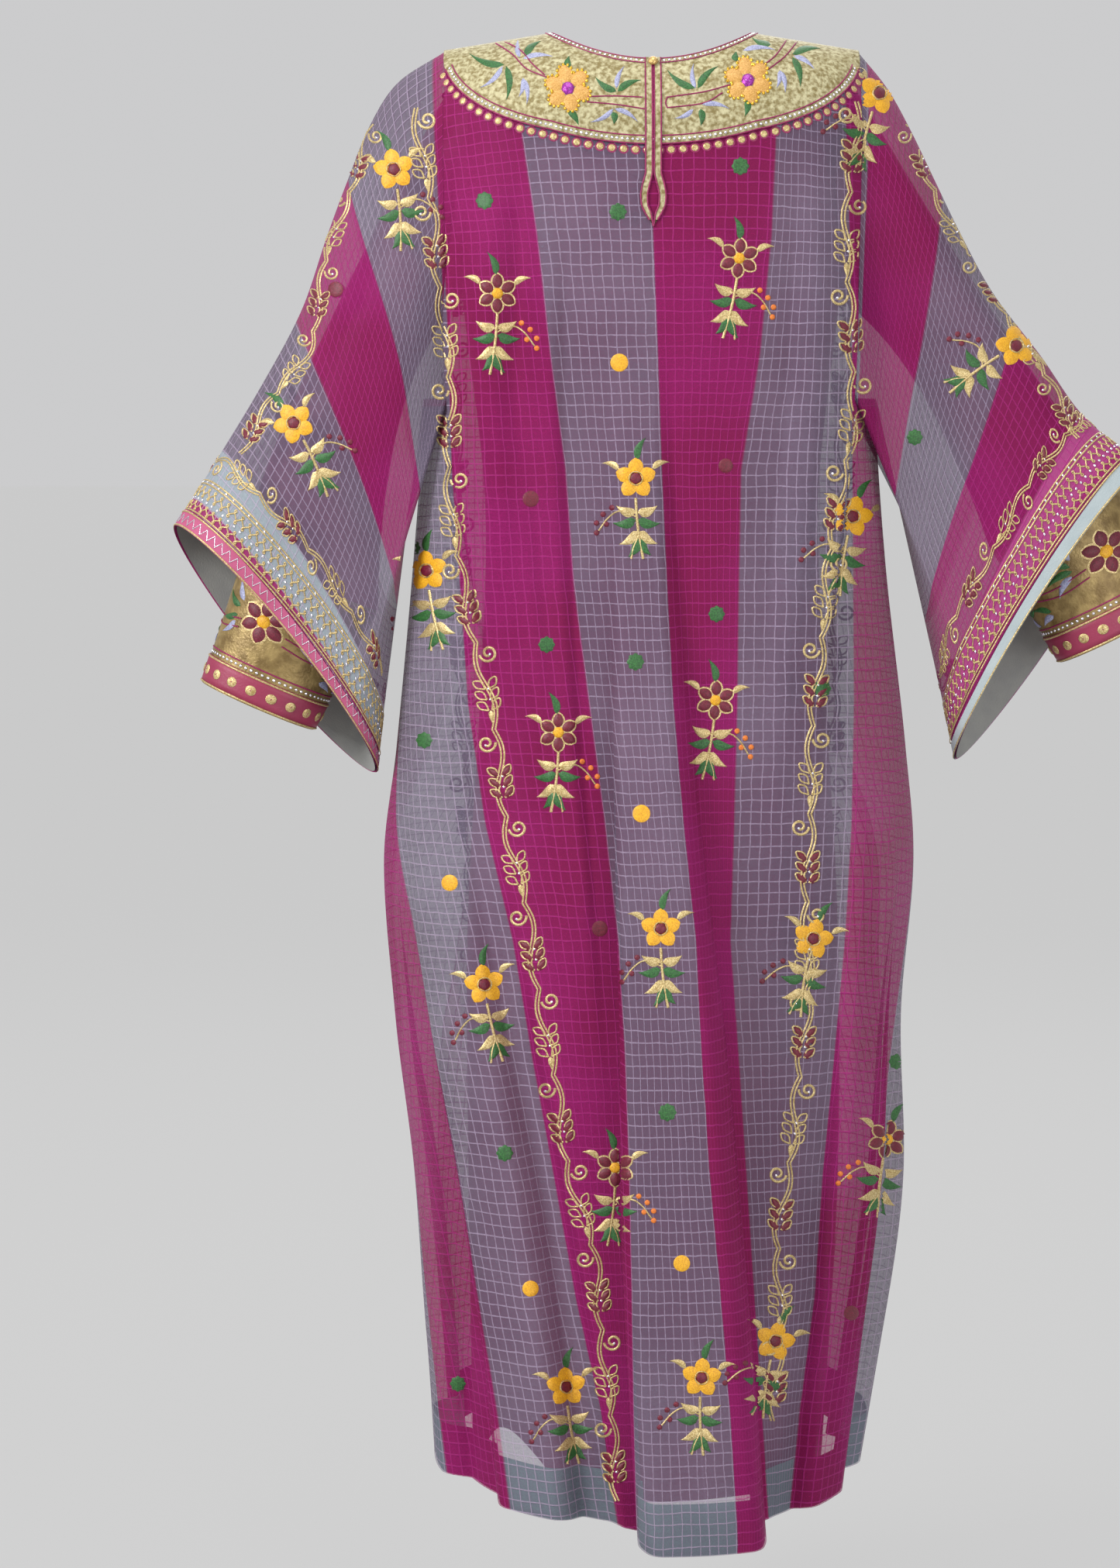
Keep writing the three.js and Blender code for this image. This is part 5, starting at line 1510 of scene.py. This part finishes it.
SCALLOP = [disc("magenta", 4.5, 0.3, sides=14), disc("gold", 3.3, 0.9, sides=14)]
SEQUIN = [disc("silver", 1.35, 0.8, sides=8)]
SEQUIN_PITCH = 4.6
for centre, neck_depth, edge_depth in ((0, NECK_BACK, YOKE_BACK_DEPTH), (4, NECK_FRONT, YOKE_FRONT_DEPTH)):
    yoke_around = np.linspace(centre - 0.98, centre + 0.98, 300)
    yoke_x = robe.point(yoke_around, 0)[:, 0]
    lower = EdgeLine(*robe_frame(yoke_around, yoke_edge(yoke_x, edge_depth)), yoke_lift)
    lower.row(SCALLOP, 10, -4.9)
    lower.line("magenta", 0.4)
    lower.row(SEQUIN, SEQUIN_PITCH, 4.2)
    lower.line("magenta", 7.6)
    inside = np.abs(yoke_x) < NECK_HALF - 2
    collar_around = yoke_around[inside]
    collar_x = yoke_x[inside]
    collar_depth = neck_edge(collar_x, neck_depth)
    collar = EdgeLine(*robe_frame(collar_around, collar_depth), lambda height: YOKE_LIFT + height * 0)
    collar.line("magenta", -1.0)
    collar.row(SEQUIN, SEQUIN_PITCH, -4.0)
    collar.line("magenta", -7.2)


def jewel_flower():
    shapes = []
    for k in range(6):
        angle = turned(90 + 60 * k)
        shapes.append(patch("amber", 17, 13.5, 1.3, 4.6, angle, blunt=0.95, full=0.55))
        rim = turned(np.linspace(-100, 100, 7))
        beads = np.stack([14.5 + 7 * np.cos(rim), 7 * np.sin(rim)], -1)
        for at in rotated(beads, angle):
            shapes.append(disc("topaz", 1.5, 1.4, at, sides=8))
    shapes.append(disc("violet", 6, 2.8, sides=12))
    for k in range(4):
        at = (2.4 * math.cos(k * 1.7), 2.4 * math.sin(k * 1.7))
        shapes.append(disc("silver", 0.8, 3.0, at, sides=6))
    return shapes


# Leaves of the yoke, each from its root to its tip in the drawing plane
YOKE_LEAVES = {
    "green": (
        (-133.9, -27.0, -165.7, -16.9),
        (-132.0, -28.3, -132.0, -58.8),
        (-115.3, -19.1, -100.7, -5.8),
        (-75.5, -29.7, -74.7, -19.1),
        (-75.5, -68.1, -66.2, -81.4),
        (-31.7, -50.9, -50.8, -38.2),
        (-30.4, -50.9, -9.2, -40.8),
        (-34.4, -69.5, -33.9, -80.6),
        (39.9, -48.2, 14.7, -31.8),
        (42.5, -48.2, 61.1, -28.3),
        (45.2, -66.8, 45.2, -82.2),
        (77.0, -23.8, 77.5, -15.1),
        (87.6, -58.8, 85.5, -73.4),
        (108.8, -9.0, 91.6, -2.6),
        (128.7, -20.4, 135.9, -46.9),
        (128.7, -17.7, 153.9, -12.4),
    ),
    "lilac": (
        (-119.8, -20.4, -120.6, -3.1),
        (-116.6, -21.7, -89.6, -19.6),
        (-135.2, -28.3, -155.9, -47.7),
        (-116.6, -39.0, -120.6, -56.2),
        (-116.6, -39.0, -113.4, -62.8),
        (-31.7, -48.2, -24.3, -28.3),
        (-34.4, -66.8, -55.6, -78.7),
        (-33.1, -66.8, -11.9, -78.7),
        (40.4, -48.2, 38.8, -25.7),
        (38.5, -67.3, 21.3, -75.3),
        (46.5, -62.8, 71.7, -66.8),
        (83.6, -14.3, 112.8, -13.8),
        (116.8, -32.3, 114.1, -48.2),
        (117.3, -32.3, 122.1, -52.2),
        (130.0, -19.1, 148.6, -31.0),
    ),
}


def leaf_between(thread, x0, y0, x1, y1, width):
    reach = math.hypot(x1 - x0, y1 - y0)
    return patch(thread, reach, width, 0.9, 0, math.atan2(y1 - y0, x1 - x0), (x0, y0), 0.1)


yoke_shapes = []
for thread, leaves in YOKE_LEAVES.items():
    for leaf in leaves:
        yoke_shapes.append(leaf_between(thread, *leaf, 6.4 if thread == "green" else 4.6))
# Outlines of the tapering bands
for band_path in (
    ((-58.3, -55.7), (-33.1, -55.1), (-7.9, -56.2)),
    ((-58.3, -60.4), (-31.7, -62.8), (-5.8, -66.8)),
    ((-95.4, -38.2), (-114.0, -30.2), (-127.2, -16.9), (-148.4, -3.7)),
    ((-96.7, -36.3), (-108.7, -25.7), (-119.3, -13.8), (-140.5, -2.6)),
    ((71.7, -45.1), (47.8, -51.4), (14.7, -56.2)),
    ((65.1, -52.2), (47.8, -61.5), (14.7, -65.7)),
    ((14.7, -56.2), (13.3, -61.0), (14.7, -65.7)),
    ((99.5, -29.1), (112.8, -19.1), (123.4, -4.5)),
    ((106.7, -31.3), (122.1, -19.1), (134.0, -4.5)),
):
    yoke_shapes.append(cord("magenta", bend(band_path, 20), 1.3, 0.8))
needlework.lay(yoke_shapes, from_behind)
for column, row in ((724, 106), (950, 96)):
    needlework.lay(jewel_flower(), from_behind, 0.2, 1.0, plane_place(column, row))
for x, z, mirror in ((62, -118, False), (-62, -118, True)):
    needlework.lay(jewel_flower(), from_front, 0.2, 1.0, (x, z))
    for at, angle, thread in (
        ((24, 8), 20, "green"),
        ((22, -6), -15, "lilac"),
        ((-24, 4), 165, "green"),
        ((-22, -8), 200, "lilac"),
        ((4, 26), 80, "green"),
        ((44, 24), 40, "green"),
        ((52, 30), 75, "lilac"),
    ):
        leaf = [patch(thread, 22, 6, 0.9, 0, turned(angle), at, 0.1)]
        needlework.lay(leaf, from_front, 0.0, 1.0, (x, z), mirror)

# Slit cords
# The gold binding of the slit has a magenta cord along each of its edges. The cords are couched flat
# on the edges of the ribbon.
CORD_STEPS = 60
SLIT_OUTWARD = np.array([0.0, -1.0, 0.15])
stops = len(BINDING_STOPS)
for edge_column in (0, BINDING_COLUMNS - 1):
    for half in (slice(0, stops), slice(stops, 2 * stops)):
        edge_points = binding_points[half, edge_column]
        path_length = np.concatenate([[0], np.cumsum(np.linalg.norm(np.diff(edge_points, axis=0), axis=1))])
        places = np.linspace(0, path_length[-1], CORD_STEPS)
        dense = np.stack([np.interp(places, path_length, edge_points[:, k]) for k in range(3)], -1)
        outward = np.tile(SLIT_OUTWARD / np.linalg.norm(SLIT_OUTWARD), (CORD_STEPS, 1))
        slit_edge = EdgeLine(dense, outward, lambda height: height * 0)
        slit_edge.line("magenta", 0.0, 1.5, 0.2)
needlework.finish("yoke_stitch")

# Sleeve borders
# A broad embroidered border goes round each sleeve above its edging: rows of gold loops between
# double gold cords, with scrolling vines above. The left sleeve has a zigzag on its edging.
needlework = Needlework()
BORDER_LIFT = 1.25
LOOP_PITCH = 10
LOOP_ROWS = ((24, 4.2), (38.5, 5.2))
CORD_HEIGHTS = (1.2, 15.5, 18.5, 46.5, 50.0)
VINE_HEIGHT = 70
EDGING_HEIGHT = 17
SLANT_SHARE = 0.2


class SleeveHem:
    """The cloth above a sleeve's mouth, by distance round it from the ridge and height above it."""

    def __init__(self, arm):
        self.arm = arm
        self.shares = np.linspace(-0.5, 0.5, 401)
        mouth = sleeve_points(arm, self.shares, 1.0)
        steps = np.linalg.norm(np.diff(mouth, axis=0), axis=1)
        self.width = np.concatenate([[0], np.cumsum(steps)])
        self.width -= self.width[200]
        above = sleeve_points(arm, self.shares, 1 - SLANT_SHARE)
        self.slant = np.linalg.norm(mouth - above, axis=1) / SLANT_SHARE

    def lay(self, flat, rise):
        share = np.interp(flat[:, 0], self.width, self.shares)
        along = 1 - flat[:, 1] / np.interp(share, self.shares, self.slant)
        reach = 0.003
        around = sleeve_points(self.arm, share + reach, along) - sleeve_points(self.arm, share - reach, along)
        down = sleeve_points(self.arm, share, along + reach) - sleeve_points(self.arm, share, along - reach)
        normal = np.cross(around, down) * self.arm["side"]
        normal /= np.linalg.norm(normal, axis=-1, keepdims=True)
        lift = rise + np.where(flat[:, 1] < EDGING_HEIGHT, BORDER_LIFT, 0.05)
        return sleeve_points(self.arm, share, along) + normal * lift[:, None], np.ones(len(flat), bool)


def straight(half, height, step=3.0):
    places = np.arange(-half, half + step, step)
    return np.stack([places, np.full(len(places), height)], -1)


for arm_name, arm in ARMS.items():
    mouth = SleeveHem(arm)
    half = float(mouth.width[-1]) - 1
    border = [cord("gold", straight(half, height), 1.6) for height in CORD_HEIGHTS]
    loops = np.arange(-half, half, 0.7)
    swing = loops * 2 * math.pi / LOOP_PITCH
    for height, rise in LOOP_ROWS:
        path = np.stack([loops + 0.24 * LOOP_PITCH * np.sin(2 * swing), height + rise * np.sin(swing)], -1)
        border.append(cord("gold", path, 1.5, 0.8))
    if arm_name == "left":
        teeth = np.arange(-half, half, 5.0)
        zigzag = np.stack([teeth, 8.2 + 4 * np.where(np.arange(len(teeth)) % 2, 1, -1)], -1)
        border.append(cord("silver", zigzag, 1.2, 0.5))
    vine_path = [(place, VINE_HEIGHT) for place in (-half, -half / 2, 0, half / 2, half - 1)]
    border += vine(vine_path, 1, True, 0.9)
    border += repeated(SEQUIN, [(place, 31) for place in np.arange(-half + 4, half, 0.8 * LOOP_PITCH)])
    border += repeated(SEQUIN, [(place, 48.2) for place in np.arange(-half + 4, half, 11.0)])
    needlework.lay(border, mouth.lay)
needlework.finish("sleeve_stitch")

# Cuff stitching
# The gold cuffs carry flowers, leaves and tapering bands. Sequins and gold cords edge the magenta
# bands, which have a row of gold spots.
needlework = Needlework()
CUFF_ROUND = 320
CUFF_STEPS = 90
CUFF_CORDS = ((1.8, "gold", 1.8), (25.6, "gold", 1.8), (34.5, "magenta", 1.5), (121, "magenta", 1.5))


class CuffCloth:
    """A cuff's cloth, by distance round it from its upper edge line and height above its end."""

    def __init__(self, arm):
        self.arm = arm

    def lay(self, flat, rise):
        share = flat[:, 0] / CUFF_ROUND
        low = cuff_points(self.arm, share, flat[:, 1], 0.0)
        high = cuff_points(self.arm, share, flat[:, 1], 1.0)
        outward = high - low
        outward /= np.linalg.norm(outward, axis=-1, keepdims=True)
        lift = rise + np.where(flat[:, 1] < CUFF_BAND + 0.5, 1.4, 0.05)
        return low + outward * lift[:, None], np.ones(len(flat), bool)


CUFF_SPOT = [disc("gold", 4.6, 1.0, sides=18), disc("magenta", 1.1, 1.2, sides=8)]
cuff_shapes = []
for at, angle, length, thread in (
    ((30, 78), 25, 26, "green"),
    ((30, 74), -10, 24, "green"),
    ((32, 70), -40, 22, "lilac"),
    ((28, 84), 60, 24, "lilac"),
    ((-26, 80), 155, 25, "green"),
    ((-26, 72), 195, 24, "green"),
    ((-24, 86), 120, 22, "lilac"),
    ((-26, 66), 225, 20, "lilac"),
    ((62, 48), 15, 22, "green"),
    ((62, 44), -20, 18, "lilac"),
    ((-58, 52), 170, 22, "green"),
    ((-58, 46), 205, 18, "lilac"),
):
    cuff_shapes.append(patch(thread, length, 6.4, 1.0, 0, turned(angle), at, 0.1))
for wing in (-1, 1):
    for height in (70, 62):
        band_path = [(wing * 20, height), (wing * 45, height - 4), (wing * 70, height * 0.6 + 24)]
        cuff_shapes.append(cord("magenta", bend(band_path, 16), 1.4, 0.8))
for arm_name, arm in ARMS.items():
    wrist = CuffCloth(arm)
    places_round = np.linspace(-CUFF_ROUND / 2, CUFF_ROUND / 2, CUFF_STEPS)
    for height, thread, width in CUFF_CORDS:
        path = np.stack([places_round, np.full(CUFF_STEPS, height)], -1)
        needlework.lay([cord(thread, path, width)], wrist.lay)
    for drawing, count, height in ((CUFF_SPOT, 18, 13.6), (SEQUIN, 64, 30.5)):
        spots = np.linspace(-CUFF_ROUND / 2, CUFF_ROUND / 2, count, endpoint=False)
        needlework.lay(repeated(drawing, [(place, height) for place in spots]), wrist.lay)
    for centre in (60, -100):
        needlework.lay(cuff_shapes, wrist.lay, move=(centre, 0))
        needlework.lay(maroon_flower(), wrist.lay, 0.0, 1.15, (centre, 76))
needlework.finish("cuff_stitch")

# Front stitching
# The front isn't seen, so it carries the same sprigs, spots and seam vines in a plain arrangement,
# sewn in the same threads.
needlework = Needlework()
for x, z, design, mirror in (
    (-95, -330, maroon_sprig, False),
    (95, -330, maroon_sprig, True),
    (0, -420, yellow_sprig, True),
    (-100, -640, yellow_sprig, False),
    (100, -640, yellow_sprig, True),
    (0, -760, maroon_sprig, False),
    (-90, -940, maroon_sprig, False),
    (90, -940, maroon_sprig, True),
    (0, -1090, yellow_sprig, True),
    (-95, -1190, yellow_sprig, False),
    (95, -1190, yellow_sprig, True),
    (330, -350, yellow_sprig, True),
    (-330, -350, yellow_sprig, False),
):
    needlework.lay(design, from_front, 0.0, 1.0, (x, z), mirror)
for x, z, thread in (
    (0, -270, "green"),
    (-60, -520, "yellow"),
    (60, -520, "maroon"),
    (-30, -620, "green"),
    (40, -880, "yellow"),
    (-50, -840, "green"),
    (0, -970, "maroon"),
    (-60, -1090, "green"),
    (70, -1080, "yellow"),
    (0, -1240, "green"),
    (290, -230, "green"),
    (-290, -230, "green"),
):
    needlework.lay([disc(thread, 7.6, 0.9, sides=32)], from_front, 0.0, 1.0, (x, z))
for wing in (-1, 1):
    front_path = [(wing * x, z) for x, z in ((186, -190), (182, -330), (178, -500), (172, -700), (160, -900))]
    front_path += [(wing * 148, -1060), (wing * 132, -1220), (wing * 122, -1290)]
    needlework.lay(vine(front_path, wing, wing > 0), from_front)
needlework.finish("front_stitch")
